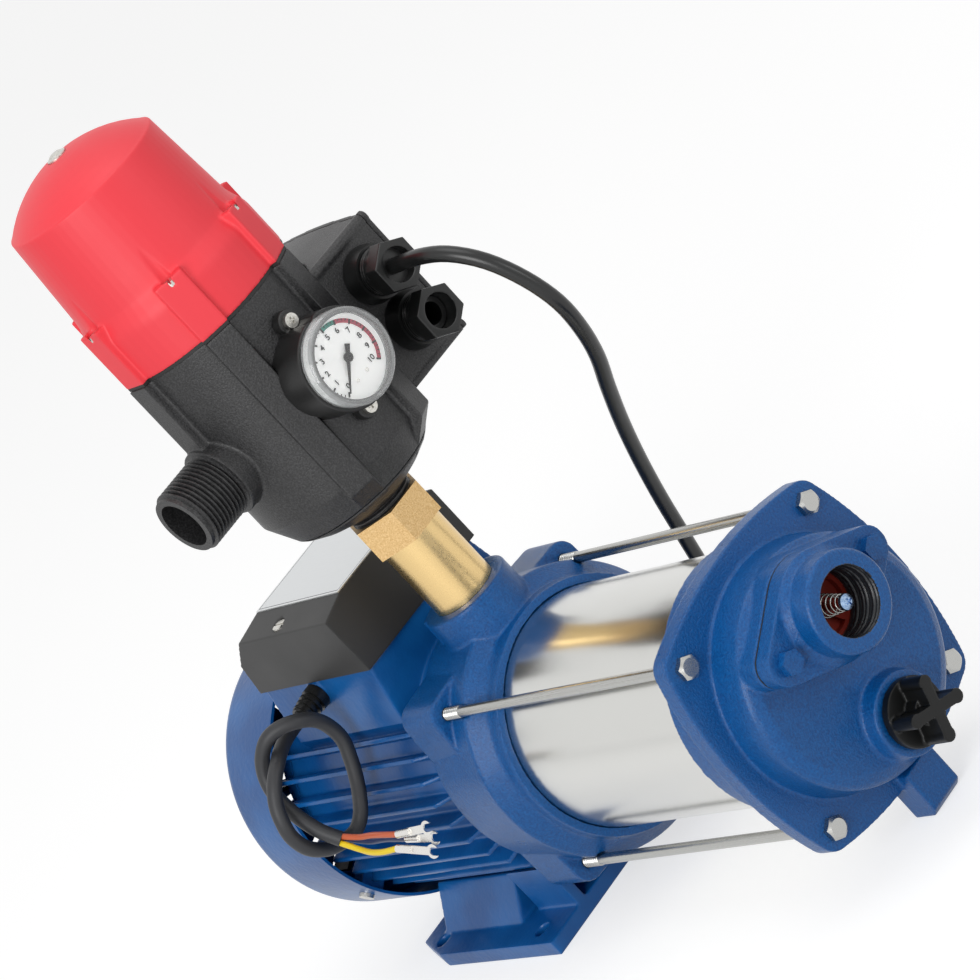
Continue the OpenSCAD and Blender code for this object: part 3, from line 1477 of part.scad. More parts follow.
module controller_body() {
    color("black") place() difference() {
        union() {
            translate([outlet_x, 0, inlet_z]) outer_thread(pipe_r, pipe_depth, pipe_pitch, body_z - inlet_z);
            z_turn(concat([[0, body_z - cut], [bore_r, body_z - cut]], [for (i = [0:3])
                [bowl_r_shares[i] * body_r, body_z + bowl_z_shares[i] * body_h]],
                [[body_r, body_top + cut], [0, body_top + cut]]));
            for (angle = rib_angles) rib(angle, rib_start(angle));
            y_cyl(outlet_collar_r, -outlet_collar_y, 0, outlet_x, outlet_z);
            translate([outlet_x, -outlet_collar_y + cut, outlet_z]) rotate([90, 0, 0])
                outer_thread(pipe_r, pipe_depth, pipe_pitch, outlet_reach - outlet_collar_y + cut);
        }
        controller_inside();
        z_cyl(2 * body_r, body_top, body_top + 3 * cut, outlet_x, 0);
        z_turn([[seam_in_r, seam_z], [2 * body_r, seam_z],
            [2 * body_r, seam_z + seam_w], [seam_in_r, seam_z + seam_w]]);
        y_cyl(outlet_bore_r, -outlet_reach - cut, -body_r / 2, outlet_x, outlet_z);
        x_cyl(gauge_stem_r + run_fit, outlet_x, gauge_cup_x, 0, gauge_z);
        for (z = [-ear_out, ear_out])
            x_cyl(cap_screw_r + run_fit, gauge_ear_x - gauge_screw_len - cut, gauge_cup_x, 0, gauge_z + z);
        at_cap_screws() z_cyl(cap_screw_r + run_fit, cap_screw_tip - cut, body_top + cut, 0, 0);
    }
    color("black") place() difference() {
        intersection() {
            z_cyl(body_r - guide_bar_lap, body_z, body_top, outlet_x, 0);
            box([outlet_x - body_r, -guide_bar_w / 2, guide_bar_z],
                [outlet_x + body_r, guide_bar_w / 2, guide_bar_z + guide_bar_t]);
        }
        z_cyl(piston_stem_r + run_fit, body_z, body_top, outlet_x, 0);
    }
}

module controller_inside() {
    z_turn([[0, inlet_z - cut], [inlet_bore_r, inlet_z - cut], [inlet_bore_r, piston_seat_z],
        [bowl_floor_r, piston_seat_z], [body_r - body_wall, piston_seat_z + body_wall * 3],
        [body_r - body_wall, body_top + cut], [0, body_top + cut]]);
}

module at_cap_screws() {
    for (angle = rib_angles) translate([outlet_x, 0, 0]) rotate([0, 0, angle])
        translate([cap_screw_mid_r, 0, 0]) children();
}

// Outline of the cap, a wall inside it: its flare, its side up to the rim, then the arc of its dome
function cap_line(wall) = concat(
    [for (i = [0:cap_flare_steps]) let (u = i / cap_flare_steps)
        [mix(cap_r_shares, ease(u)) * cap_foot_r - wall, cap_z + mix(cap_z_shares, u) * cap_h - wall]],
    [[cap_r_shares[2] * cap_foot_r - wall, cap_z + cap_z_shares[2] * cap_h - wall]],
    [for (i = [0:cap_dome_steps]) let (a = cap_dome_angle * (1 - i / cap_dome_steps))
        [(cap_dome_r - wall) * sin(a), cap_z + cap_h - cap_dome_r + (cap_dome_r - wall) * cos(a)]]);
module controller_cap() {
    color("crimson") place() difference() {
        union() {
            z_turn(concat([[0, cap_z], [cap_foot_r, cap_z]], cap_line(0)));
            for (angle = rib_angles) translate([outlet_x, 0, cap_z]) rotate([0, 0, angle])
                box([cap_foot_r / 2, -cap_lug_w / 2, 0], [cap_lug_r, cap_lug_w / 2, cap_lug_h]);
        }
        z_turn(concat([[0, cap_z - cut], [cap_foot_r - cap_wall, cap_z - cut]], cap_line(cap_wall)));
        z_cyl(air_valve_r + still_gap, cap_z + cap_h - air_valve_sink, cap_z + cap_h + cut, outlet_x, 0);
        z_cyl(air_valve_stem_r + run_fit, cap_z, cap_z + cap_h + cut, outlet_x, 0);
        at_cap_screws() {
            z_cyl(cap_screw_r + bolt_gap, cap_z - cut, cap_z + cap_lug_h, 0, 0);
            z_cyl(cap_screw_head_r + run_fit, cap_screw_seat, cap_z + 2 * cap_lug_h, 0, 0);
        }
    }
}

module controller_screws() {
    color("silver") place() {
        at_cap_screws() difference() {
            union() {
                z_cyl(cap_screw_r, cap_screw_tip, cap_screw_seat, 0, 0);
                z_cyl(cap_screw_head_r, cap_screw_seat, cap_screw_seat + cap_screw_head_h, 0, 0);
            }
            translate([0, 0, cap_screw_seat + cap_screw_head_h])
                cube([2 * cap_screw_head_r, cross_w, 2 * cross_depth], center = true);
        }
        for (z = [-ear_out, ear_out]) translate([gauge_ear_x, 0, gauge_z + z]) difference() {
            union() {
                x_cyl(cap_screw_r, -gauge_screw_len, 0);
                x_cyl(cap_screw_head_r, 0, cap_screw_head_h);
            }
            translate([cap_screw_head_h, 0, 0]) for (turn = [0, 90]) rotate([turn, 0, 0])
                cube([2 * cross_depth, cap_screw_head_r, cross_w], center = true);
        }
    }
}

module cap_air_valve() {
    color("silver") place() translate([0, 0, cap_z + cap_h - air_valve_sink]) {
        z_turn([[0, 0], [air_valve_r, 0], [air_valve_r, air_valve_h / 2],
            [air_valve_r / 2, air_valve_h], [0, air_valve_h]]);
        z_cyl(air_valve_stem_r, -air_valve_stem, air_valve_h / 2, outlet_x, 0);
    }
}

module diaphragm() {
    color("dimgray") place() difference() {
        union() {
            z_cyl(cap_foot_r - still_gap, body_top, cap_z, outlet_x, 0);
            for (angle = rib_angles) translate([outlet_x, 0, body_top]) rotate([0, 0, angle])
                box([cap_foot_r / 2, -rib_w / 2, 0], [cap_lug_r - still_gap, rib_w / 2, membrane_t]);
        }
        at_cap_screws() z_cyl(cap_screw_r + bolt_gap, body_top - cut, cap_z + cut, 0, 0);
    }
}

module flow_piston() {
    color("ivory") place() {
        z_cyl(piston_r, piston_seat_z + still_gap, piston_top_z, outlet_x, 0);
        z_cyl(piston_stem_r, piston_top_z - cut, piston_top_z + piston_stem_len, outlet_x, 0);
    }
}

// Gauge
module gauge_cup() {
    color("black") place() {
        difference() {
            union() {
                x_cyl(gauge_r, gauge_back_x, gauge_cup_x, 0, gauge_z);
                for (z = [-ear_out, ear_out])
                    x_cyl(gauge_ear_r, gauge_back_x, gauge_ear_x, 0, gauge_z + z);
            }
            body_room(still_gap);
            x_cyl(spindle_r + run_fit, gauge_cup_x - spindle_len - cut, gauge_cup_x + cut, 0, gauge_z);
            for (z = [-ear_out, ear_out]) {
                x_cyl(cap_screw_r + run_fit, gauge_back_x - cut, gauge_ear_x + cut, 0, gauge_z + z);
                x_cyl(cap_screw_head_r + still_gap, gauge_ear_x, gauge_cup_x + cut, 0, gauge_z + z);
            }
        }
        x_cyl(gauge_stem_r, gauge_back_x, gauge_cup_x - 2 * gauge_stem_r, 0, gauge_z);
    }
}

module gauge_dial() {
    color("white") place() difference() {
        x_cyl(bezel_in_r - run_fit, gauge_cup_x, gauge_cup_x + dial_t, 0, gauge_z);
        x_cyl(spindle_r + run_fit, gauge_cup_x - cut, gauge_cup_x + dial_t + cut, 0, gauge_z);
    }
}

// Needle at the zero mark, low on the side of the outlet
module gauge_needle() {
    color("black") place() translate([needle_x, 0, gauge_z]) {
        x_cyl(needle_hub_r, 0, 2 * needle_t);
        x_cyl(spindle_r, gauge_cup_x - spindle_len - needle_x, needle_t);
        rotate([needle_zero, 0, 0]) at_x(0) linear_extrude(needle_t) polygon([[-needle_tail, -needle_w],
            [-needle_tail, needle_w], [needle_len, needle_w / 6], [needle_len, -needle_w / 6]]);
    }
}

module gauge_bezel() {
    color("whitesmoke") place() translate([0, 0, gauge_z]) difference() {
        x_turn([[0, gauge_cup_x], [bezel_r, gauge_cup_x], [bezel_r, gauge_face_x - edge],
            [bezel_r - edge, gauge_face_x], [0, gauge_face_x]]);
        x_cyl(bezel_in_r, gauge_cup_x - cut, gauge_face_x - lens_lip);
        x_cyl(bezel_in_r - edge, gauge_cup_x - cut, gauge_face_x + cut);
    }
}

module gauge_lens() {
    color("lightcyan") place() translate([gauge_face_x - lens_lip, 0, gauge_z])
        x_cyl(bezel_in_r - run_fit, -lens_disc_t, 0);
}

// Electronics case on the far side of the controller
// Side view of the case: a flat arch on top, and a round bar along both of its front edges
module case_outline() {
    corner_z = case_top - case_arch_r + sqrt(case_arch_r * case_arch_r - case_len * case_len / 4);
    intersection() {
        translate([case_x - case_len, case_z]) square([case_len, case_h]);
        translate([outlet_x, case_top - case_arch_r]) circle(r = case_arch_r, $fn = round_fn);
    }
    translate([case_x + bar_out - bar_r, corner_z - bar_down]) circle(r = bar_r);
    translate([case_x + bar_out - low_bar_r, case_z + low_bar_r]) circle(r = low_bar_r);
}

module at_y(y0) {
    translate([0, y0, 0]) rotate([90, 0, 0]) children();
}

module electronics_case() {
    color("black") place() difference() {
        at_y(case_reach) linear_extrude(case_reach - case_in_y) case_outline();
        body_room(still_gap);
        box([case_x - case_len + case_wall, body_r + case_wall, case_z + case_wall],
            [case_x - case_wall, case_reach + cut, case_top - 3 * case_wall]);
        for (z = [0, gland_gap])
            x_cyl(gland_tube_r + run_fit, case_x - 2 * case_wall, case_x + cut, gland_y, gland_z + z);
    }
}

module electronics_panel() {
    color("dimgray") place() difference() {
        at_y(case_reach + panel_t) linear_extrude(panel_t) case_outline();
        y_cyl(button_r + run_fit, case_reach - cut, case_reach + panel_t + cut, button_x, button_z);
    }
}

module restart_button() {
    color("firebrick") place() translate([button_x, case_reach, button_z]) {
        y_cyl(button_r, -button_flange_t, panel_t + button_proud, 0, 0);
        y_cyl(button_flange_r, -run_fit - button_flange_t, -run_fit, 0, 0);
    }
}

module cable_glands() {
    color("black") place() {
        for (z = [0, gland_gap]) translate([case_x, gland_y, gland_z + z]) difference() {
            union() {
                x_turn([[0, 0], [gland_base_r, 0], [gland_base_r, gland_base_edge],
                    [gland_base_front_r, gland_base_len], [0, gland_base_len]]);
                x_cyl(gland_tube_r, -case_wall + run_fit, gland_tube_end);
            }
            x_cyl(gland_bore_r, -case_wall - cut, nut_front);
        }
        translate([case_x + nut_front, gland_y, gland_z + gland_gap])
            x_cyl(gland_mouth_r - run_fit, -gland_insert_in - gland_insert_t, -gland_insert_in);
    }
}

module gland_nuts() {
    hex_x = nut_front - gland_hex_len;
    mouth_x = nut_front - gland_insert_in - gland_insert_t - still_gap;
    color("black") place() for (z = [0, gland_gap]) translate([case_x, gland_y, gland_z + z]) difference() {
        union() {
            x_cyl(gland_collar_r, gland_nut_back, hex_x + cut);
            x_hex(gland_af, hex_x, nut_front);
        }
        for (x = [gland_nut_back + gland_ring_w, gland_nut_back + 3 * gland_ring_w])
            x_turn([[gland_collar_r - gland_ring_w / 2, x], [gland_collar_r + cut, x],
                [gland_collar_r + cut, x + gland_ring_w],
                [gland_collar_r - gland_ring_w / 2, x + gland_ring_w]]);
        x_cyl(gland_tube_r + run_fit, gland_nut_back - cut, mouth_x + cut);
        x_cyl(gland_mouth_r, mouth_x, nut_front + cut);
    }
}

// Mains lead, its stored coil and its plug
lead_line = smooth(mains_route, rings_per_leg);
tail_line = smooth(tail_route, rings_per_leg);
module mains_lead() {
    color("black") tube_on(lead_line, square_ends(lead_line, [1, 0, 0], [-1, 0, 0]),
        mains_d / 2, lead_sides, [0, 0, 1]);
    color("black") tube_on(tail_line, square_ends(tail_line, [-1, 0, 0], [-1, 0, 0]),
        mains_d / 2, lead_sides, [0, 0, 1]);
}

function mix(shares, t) = shares[0] + (shares[1] - shares[0]) * t;
function ease(t) = t < 0 ? 0 : t > 1 ? 1 : t * t * (3 - 2 * t);
function coil_at(u) = let (r = coil_out_r - coil_step * min(u, coil_turns - u), a = -90 - 360 * u)
    [coil_mid.x + r * cos(a), coil_mid.y + r * sin(a),
        mains_d / 2 + coil_step * ease(2 * (u - coil_turns / 2) + half_share)];
coil_points = [for (i = [0:coil_turns * coil_rings]) coil_at(i / coil_rings)];
coil_line = concat([coil_points[0] + [mains_d, 0, 0]], coil_points,
    [coil_points[coil_turns * coil_rings] - [mains_d, 0, 0]]);
echo(coil_gap = least_gap(coil_points, mains_d / 2, coil_rings / 2));
module mains_coil() {
    color("black") tube_on(coil_line, square_ends(coil_line, [-1, 0, 0], [-1, 0, 0]),
        mains_d / 2, coil_sides, [0, 0, 1]);
}

module mains_plug() {
    color("black") translate([plug_x - plug_relief_len, plug_y, plug_body_r]) {
        x_turn([[0, plug_relief_len], [plug_relief_r, plug_relief_len], [plug_neck_r, 0],
            [plug_body_r - plug_grip_w, -plug_grip_w / 2], [plug_body_r, -plug_grip_w],
            [plug_body_r, -plug_body_len], [0, -plug_body_len]]);
        for (y = [-pin_half, pin_half]) x_cyl(pin_r, -plug_body_len - pin_len, -plug_body_len + cut, y);
    }
}

suction_cover();
suction_gasket();
suction_flange();
suction_flange_screws();
check_valve_guide();
check_valve_disc();
check_valve_screw();
check_valve_spring();
drain_plug();
drain_plug_seal();
tie_bolts();
pump_tube();
tube_seals();
discharge_bracket();
impellers();
diffusers();
shaft_nut();
seal_rotary();
seal_seat();
pump_shaft();
front_bearing();
rear_bearing();
rotor_core();
stator_core();
stator_windings();
motor_housing();
rear_end_shield();
cooling_fan();
fan_cover();
fan_cover_screws();
motor_foot();
foot_screws();
terminal_cover();
terminal_cover_screws();
rating_plate();
run_capacitor();
motor_lead_gland();
motor_lead();
motor_lead_wires();
fork_terminals();
outlet_adapter();
controller_body();
controller_cap();
controller_screws();
cap_air_valve();
diaphragm();
flow_piston();
gauge_cup();
gauge_dial();
gauge_needle();
gauge_bezel();
gauge_lens();
electronics_case();
electronics_panel();
restart_button();
cable_glands();
gland_nuts();
mains_lead();
mains_coil();
mains_plug();
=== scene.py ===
# %% [markdown]
# # Multistage pump with pressure controller
# The real object is a small electric water pump: a blue cast motor, a polished steel tube that
# holds the stages, a blue suction cover, and on top a black and red pressure controller on a
# brass neck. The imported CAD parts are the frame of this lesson. Each step takes one piece or
# one finish of the pump and makes it look like the real thing without moving the frame.

# %% Load the frame
import json
import math

import bpy
from mathutils import Matrix, Vector

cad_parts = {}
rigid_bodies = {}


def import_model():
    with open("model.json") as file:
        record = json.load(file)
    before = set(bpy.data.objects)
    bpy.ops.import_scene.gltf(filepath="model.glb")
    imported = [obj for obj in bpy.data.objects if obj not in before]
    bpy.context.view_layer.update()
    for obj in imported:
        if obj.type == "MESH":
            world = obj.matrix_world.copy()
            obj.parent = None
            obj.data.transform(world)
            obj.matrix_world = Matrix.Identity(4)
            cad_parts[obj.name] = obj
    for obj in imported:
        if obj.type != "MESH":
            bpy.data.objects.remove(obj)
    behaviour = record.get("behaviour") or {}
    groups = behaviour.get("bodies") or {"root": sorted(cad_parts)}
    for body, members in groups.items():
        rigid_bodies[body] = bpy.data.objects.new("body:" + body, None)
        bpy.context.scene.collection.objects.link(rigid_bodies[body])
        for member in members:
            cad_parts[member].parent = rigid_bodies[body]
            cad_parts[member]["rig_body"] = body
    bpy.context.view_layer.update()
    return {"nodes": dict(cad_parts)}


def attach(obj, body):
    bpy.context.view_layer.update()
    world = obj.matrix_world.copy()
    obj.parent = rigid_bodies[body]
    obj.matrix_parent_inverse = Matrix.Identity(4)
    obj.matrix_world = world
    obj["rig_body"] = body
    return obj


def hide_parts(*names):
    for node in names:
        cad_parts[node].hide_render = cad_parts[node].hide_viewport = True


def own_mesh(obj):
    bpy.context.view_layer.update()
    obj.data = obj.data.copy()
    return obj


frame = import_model()
MM = 0.001

# %% [markdown]
# ## The camera
# The picture was taken from the suction end, a little above the floor, with the camera rolled
# so that the pump leans across the frame. A camera is three directions and a place: which way
# is right in the picture, which way is up, and which way it looks. They were fitted once, and
# a long lens keeps the perspective as flat as it was.

# %% Camera
CAMERA_PLACE = Vector((1780.3, -893.7, 775.8)) * MM
PICTURE_RIGHT = Vector((0.5329, 0.5419, -0.6499))
PICTURE_UP = Vector((0.1437, 0.6990, 0.7006))
LENS = 161.5
SENSOR = 36.0
NEAR, FAR = 0.05, 50

bpy.ops.object.camera_add(location=CAMERA_PLACE)
camera = bpy.context.object
backwards = PICTURE_RIGHT.cross(PICTURE_UP)
camera.matrix_world = Matrix.Translation(CAMERA_PLACE) @ Matrix(
    (PICTURE_RIGHT, PICTURE_UP, backwards)
).transposed().to_4x4()
camera.data.lens = LENS
camera.data.sensor_width = SENSOR
camera.data.clip_start, camera.data.clip_end = NEAR, FAR
bpy.context.scene.camera = camera
print("camera at", [round(x, 3) for x in camera.location])

# %% [markdown]
# ## Selecting, and adding a node
# An operator works on whatever is selected, so one helper selects a single object and nothing
# else. Colours are written as the sRGB values a paint chart gives, and one function turns them
# to the linear values that a shader wants. One more adds a node with its settings and links.


# %% Helpers
def only(piece):
    """Selects one object and makes it the active one."""
    for other in bpy.context.selected_objects:
        other.select_set(False)
    piece.select_set(True)
    bpy.context.view_layer.objects.active = piece
    return piece


def rgb(code):
    """Linear red, green, blue and 1 of an sRGB colour written as #rrggbb."""
    parts = [int(code[i : i + 2], 16) / 255 for i in (1, 3, 5)]
    return (*[c / 12.92 if c <= 0.04045 else ((c + 0.055) / 1.055) ** 2.4 for c in parts], 1)


def add_node(tree, kind, settings, links=None):
    """Adds a node, gives its sockets and fields their values, and links other nodes' outputs to it."""
    made = tree.nodes.new("ShaderNode" + kind)
    for field, value in settings.items():
        if field == "stops":
            for stop, (place, code) in zip(made.color_ramp.elements, value):
                stop.position, stop.color = place, rgb(code)
        elif field in made.inputs:
            made.inputs[field].default_value = rgb(value) if isinstance(value, str) else value
        else:
            setattr(made, field, value)
    for socket, (node, output) in (links or {}).items():
        tree.links.new(node.outputs[output], made.inputs[socket])
    return made


# %% [markdown]
# ## A finish
# Every finish below starts from the same shader: a colour, how metallic it is and how rough.
# The steps are the nodes that give it its grain, each one named, so that a later step can read
# an earlier one. The last ones feed the shader. Patterns read the Object coordinates, which
# are the real metres of the pump, so a grain of 1 mm is 1 mm everywhere.


# %% One function for all finishes
def per_mm(size):
    """Scale of a pattern whose grain is that many millimetres."""
    return 1 / (size * MM)


def finish(name, colour, metallic, roughness, steps=(), feeds=None, **sockets):
    """A material: the plain shader values, then named pattern nodes, then what they feed."""
    made = bpy.data.materials.new(name)
    made.use_nodes = True
    tree = made.node_tree
    shader = tree.nodes["Principled BSDF"]
    shader.inputs["Base Color"].default_value = rgb(colour)
    shader.inputs["Metallic"].default_value = metallic
    shader.inputs["Roughness"].default_value = roughness
    for socket, value in sockets.items():
        shader.inputs[socket.replace("_", " ")].default_value = value
    named = {"place": add_node(tree, "TexCoord", {})}
    for label, kind, settings, links in steps:
        named[label] = add_node(
            tree, kind, settings, {s: (named[n], o) for s, (n, o) in links.items()}
        )
    for socket, (label, output) in (feeds or {}).items():
        tree.links.new(named[label].outputs[output], shader.inputs[socket])
    return made


# %% [markdown]
# ## Blue enamel on sand castings
# The cover, the bracket and the suction flange are grey iron, cast in sand and sprayed with a
# thick stoving enamel. The sand leaves a grain of about a millimetre that the paint only half
# fills, so the eye sees a satin blue full of small bright points. Two noises give the grain
# and the slow waves of the casting, and the waves also let the gloss vary a little.

# %% Blue enamel, cast
cast_enamel = finish(
    "blue_enamel_on_cast_iron", "#0b4c8f", 0.0, 0.3,
    [
        ("sand", "TexNoise", {"Scale": per_mm(1.0), "Detail": 3.0, "Roughness": 0.6},
         {"Vector": ("place", "Object")}),
        ("wave", "TexNoise", {"Scale": per_mm(14), "Detail": 2.0}, {"Vector": ("place", "Object")}),
        ("relief", "Bump", {"Strength": 1.0, "Distance": 0.36 * MM}, {"Height": ("sand", "Fac")}),
        ("hollows", "Bump", {"Strength": 0.4, "Distance": 0.8 * MM},
         {"Height": ("wave", "Fac"), "Normal": ("relief", "Normal")}),
        ("tone", "ValToRGB", {"stops": [(0.32, "#05427e"), (0.7, "#0e5ea2")]},
         {"Fac": ("sand", "Fac")}),
        ("gloss", "MapRange", {"To Min": 0.24, "To Max": 0.36}, {"Value": ("wave", "Fac")}),
    ],
    {"Normal": ("hollows", "Normal"), "Base Color": ("tone", "Color"), "Roughness": ("gloss", "Result")},
    Specular_IOR_Level=0.3, Coat_Weight=0.1, Coat_Roughness=0.14,
)
print("finish:", cast_enamel.name)

# %% [markdown]
# ## Blue enamel on smooth parts
# The motor housing is die-cast aluminium and the fan cover is pressed steel sheet. The same
# paint lies flat on them, with only the faint orange peel that any sprayed coat has.

# %% Blue enamel, smooth
smooth_enamel = finish(
    "blue_enamel_on_smooth_metal", "#105296", 0.0, 0.3,
    [
        ("peel", "TexNoise", {"Scale": per_mm(2.6), "Detail": 1.0}, {"Vector": ("place", "Object")}),
        ("cloud", "TexNoise", {"Scale": per_mm(30), "Detail": 2.0}, {"Vector": ("place", "Object")}),
        ("relief", "Bump", {"Strength": 0.8, "Distance": 0.16 * MM}, {"Height": ("peel", "Fac")}),
        ("tone", "ValToRGB", {"stops": [(0.35, "#0a4d8d"), (0.7, "#1462a8")]},
         {"Fac": ("cloud", "Fac")}),
    ],
    {"Normal": ("relief", "Normal"), "Base Color": ("tone", "Color")},
    Specular_IOR_Level=0.3, Coat_Weight=0.08, Coat_Roughness=0.15,
)
print("finish:", smooth_enamel.name)

# %% [markdown]
# ## Polished and plated steel
# The tube round the stages is stainless sheet, polished round its axis, so its fine lines run
# across the picture. The bolts are drawn rod with lines along it, and the screws are zinc
# plated, which leaves a soft grey with small cloudy spots.

# %% Steels
tube_steel = finish(
    "polished_stainless_sheet", "#d4d4d1", 1.0, 0.2,
    [
        ("stretch", "Mapping", {"Scale": (1.0, 0.02, 0.02)}, {"Vector": ("place", "Object")}),
        ("lines", "TexNoise", {"Scale": per_mm(0.5), "Detail": 3.0}, {"Vector": ("stretch", "Vector")}),
        ("cloud", "TexNoise", {"Scale": per_mm(22), "Detail": 2.0}, {"Vector": ("place", "Object")}),
        ("relief", "Bump", {"Strength": 0.25, "Distance": 0.01 * MM}, {"Height": ("lines", "Fac")}),
        ("gloss", "MapRange", {"To Min": 0.15, "To Max": 0.25}, {"Value": ("cloud", "Fac")}),
    ],
    {"Normal": ("relief", "Normal"), "Roughness": ("gloss", "Result")},
)
rod_steel = finish(
    "drawn_steel_rod", "#b4b4b1", 1.0, 0.24,
    [
        ("stretch", "Mapping", {"Scale": (0.02, 1.0, 1.0)}, {"Vector": ("place", "Object")}),
        ("lines", "TexNoise", {"Scale": per_mm(0.4), "Detail": 3.0}, {"Vector": ("stretch", "Vector")}),
        ("relief", "Bump", {"Strength": 0.4, "Distance": 0.03 * MM}, {"Height": ("lines", "Fac")}),
        ("gloss", "MapRange", {"To Min": 0.18, "To Max": 0.34}, {"Value": ("lines", "Fac")}),
    ],
    {"Normal": ("relief", "Normal"), "Roughness": ("gloss", "Result")},
)
zinc_steel = finish(
    "zinc_plated_steel", "#d3d2ce", 1.0, 0.3,
    [
        ("spots", "TexNoise", {"Scale": per_mm(0.9), "Detail": 3.0}, {"Vector": ("place", "Object")}),
        ("relief", "Bump", {"Strength": 0.4, "Distance": 0.03 * MM}, {"Height": ("spots", "Fac")}),
        ("tone", "ValToRGB", {"stops": [(0.3, "#b9b7b0"), (0.7, "#dedcd6")]}, {"Fac": ("spots", "Fac")}),
        ("gloss", "MapRange", {"To Min": 0.22, "To Max": 0.42}, {"Value": ("spots", "Fac")}),
    ],
    {"Normal": ("relief", "Normal"), "Base Color": ("tone", "Color"), "Roughness": ("gloss", "Result")},
)
blued_steel = finish(
    "blue_passivated_screw", "#8fa9c9", 1.0, 0.28,
    [
        ("spots", "TexNoise", {"Scale": per_mm(0.7), "Detail": 3.0}, {"Vector": ("place", "Object")}),
        ("tone", "ValToRGB", {"stops": [(0.35, "#7692b8"), (0.7, "#a9bfd8")]}, {"Fac": ("spots", "Fac")}),
        ("gloss", "MapRange", {"To Min": 0.2, "To Max": 0.36}, {"Value": ("spots", "Fac")}),
    ],
    {"Base Color": ("tone", "Color"), "Roughness": ("gloss", "Result")},
)
print("finishes:", tube_steel.name, rod_steel.name, zinc_steel.name, blued_steel.name)

# %% [markdown]
# ## Brass, sand-blasted and turned
# The neck is one brass forging. Its hexagon keeps the dull, grainy skin of the forging, and
# its round part was turned on a lathe, so rings as fine as a hair run round it and it shines.

# %% Brass
forged_brass = finish(
    "forged_brass_skin", "#d3b07a", 1.0, 0.46,
    [
        ("grain", "TexNoise", {"Scale": per_mm(0.7), "Detail": 3.0}, {"Vector": ("place", "Object")}),
        ("relief", "Bump", {"Strength": 1.0, "Distance": 0.16 * MM}, {"Height": ("grain", "Fac")}),
        ("tone", "ValToRGB", {"stops": [(0.3, "#c5a069"), (0.7, "#e2c391")]}, {"Fac": ("grain", "Fac")}),
    ],
    {"Normal": ("relief", "Normal"), "Base Color": ("tone", "Color")},
)
turned_brass = finish(
    "turned_brass", "#e2c48c", 1.0, 0.24,
    [
        ("stretch", "Mapping", {"Scale": (0.02, 0.02, 1.0)}, {"Vector": ("place", "Object")}),
        ("rings", "TexNoise", {"Scale": per_mm(0.35), "Detail": 2.0}, {"Vector": ("stretch", "Vector")}),
        ("spots", "TexNoise", {"Scale": per_mm(1.1), "Detail": 2.0}, {"Vector": ("place", "Object")}),
        ("relief", "Bump", {"Strength": 0.5, "Distance": 0.02 * MM}, {"Height": ("rings", "Fac")}),
        ("gloss", "MapRange", {"To Min": 0.2, "To Max": 0.38}, {"Value": ("spots", "Fac")}),
    ],
    {"Normal": ("relief", "Normal"), "Roughness": ("gloss", "Result")},
)
print("finishes:", forged_brass.name, turned_brass.name)

# %% [markdown]
# ## Moulded plastics
# The controller is glass-filled polyamide from a spark-eroded mould, which leaves a fine grain
# and a grey bloom in the light. The glands and the gauge's cup come from polished moulds and
# shine. The cap is a red satin plastic, and the terminal cover is grey-black with less grain.
# The dial glows a little, to make up for the light that its window keeps out.


# %% Plastics
def moulded(name, colour, roughness, grain, height, light=None, **sockets):
    """A moulded plastic: grain and relief in millimetres, and a lighter tone on the grain's tips."""
    return finish(
        name, colour, 0.0, roughness,
        [
            ("grain", "TexNoise", {"Scale": per_mm(grain), "Detail": 2.0}, {"Vector": ("place", "Object")}),
            ("bloom", "TexNoise", {"Scale": per_mm(25), "Detail": 3.0}, {"Vector": ("place", "Object")}),
            ("relief", "Bump", {"Strength": 0.7, "Distance": height * MM}, {"Height": ("grain", "Fac")}),
            ("gloss", "MapRange", {"To Min": roughness - 0.06, "To Max": roughness + 0.08},
             {"Value": ("bloom", "Fac")}),
            ("tone", "ValToRGB", {"stops": [(0.4, colour), (0.68, light or colour)]},
             {"Fac": ("grain", "Fac")}),
        ],
        {"Normal": ("relief", "Normal"), "Roughness": ("gloss", "Result"), "Base Color": ("tone", "Color")},
        **sockets,
    )


grained_black = moulded("grained_black_polyamide", "#151516", 0.42, 0.8, 0.3, "#353536")
gloss_black = moulded("polished_black_polyamide", "#131414", 0.3, 1.6, 0.02)
matt_black = moulded("black_gauge_cup_plastic", "#151515", 0.38, 1.2, 0.03)
cover_grey = moulded("grey_black_cover_plastic", "#2b2b2b", 0.5, 1.0, 0.03)
satin_black = moulded("satin_black_polyamide", "#0b0c0c", 0.38, 1.6, 0.02, Specular_IOR_Level=0.3)
cap_red = moulded("red_satin_plastic", "#ee3b46", 0.48, 0.7, 0.02)
valve_red = moulded("red_brown_moulding", "#8e2414", 0.45, 0.9, 0.03)
wheel_plastic = moulded("brown_wheel_plastic", "#5a5148", 0.42, 0.9, 0.02)
ivory_plastic = moulded("white_moulded_plastic", "#f1f2ee", 0.42, 0.5, 0.005)
dial_white = moulded(
    "white_dial_enamel", "#fbfcfa", 0.42, 0.5, 0.005,
    Emission_Color=rgb("#ffffff"), Emission_Strength=0.16,
)
# Painted shade: a near-black for the inside of the inlet's thread, where the bore lies in shadow.
bore_painted_shade = moulded("thread_painted_shade", "#15181c", 0.34, 0.8, 0.03, "#22272e")
print("eleven moulded plastics")

# %% [markdown]
# ## Rubber and insulation
# The motor's cable has a rubber sheath, matt and slightly dusty. The mains lead is smoother
# and catches a line of light along it. The wires have soft plastic insulation.


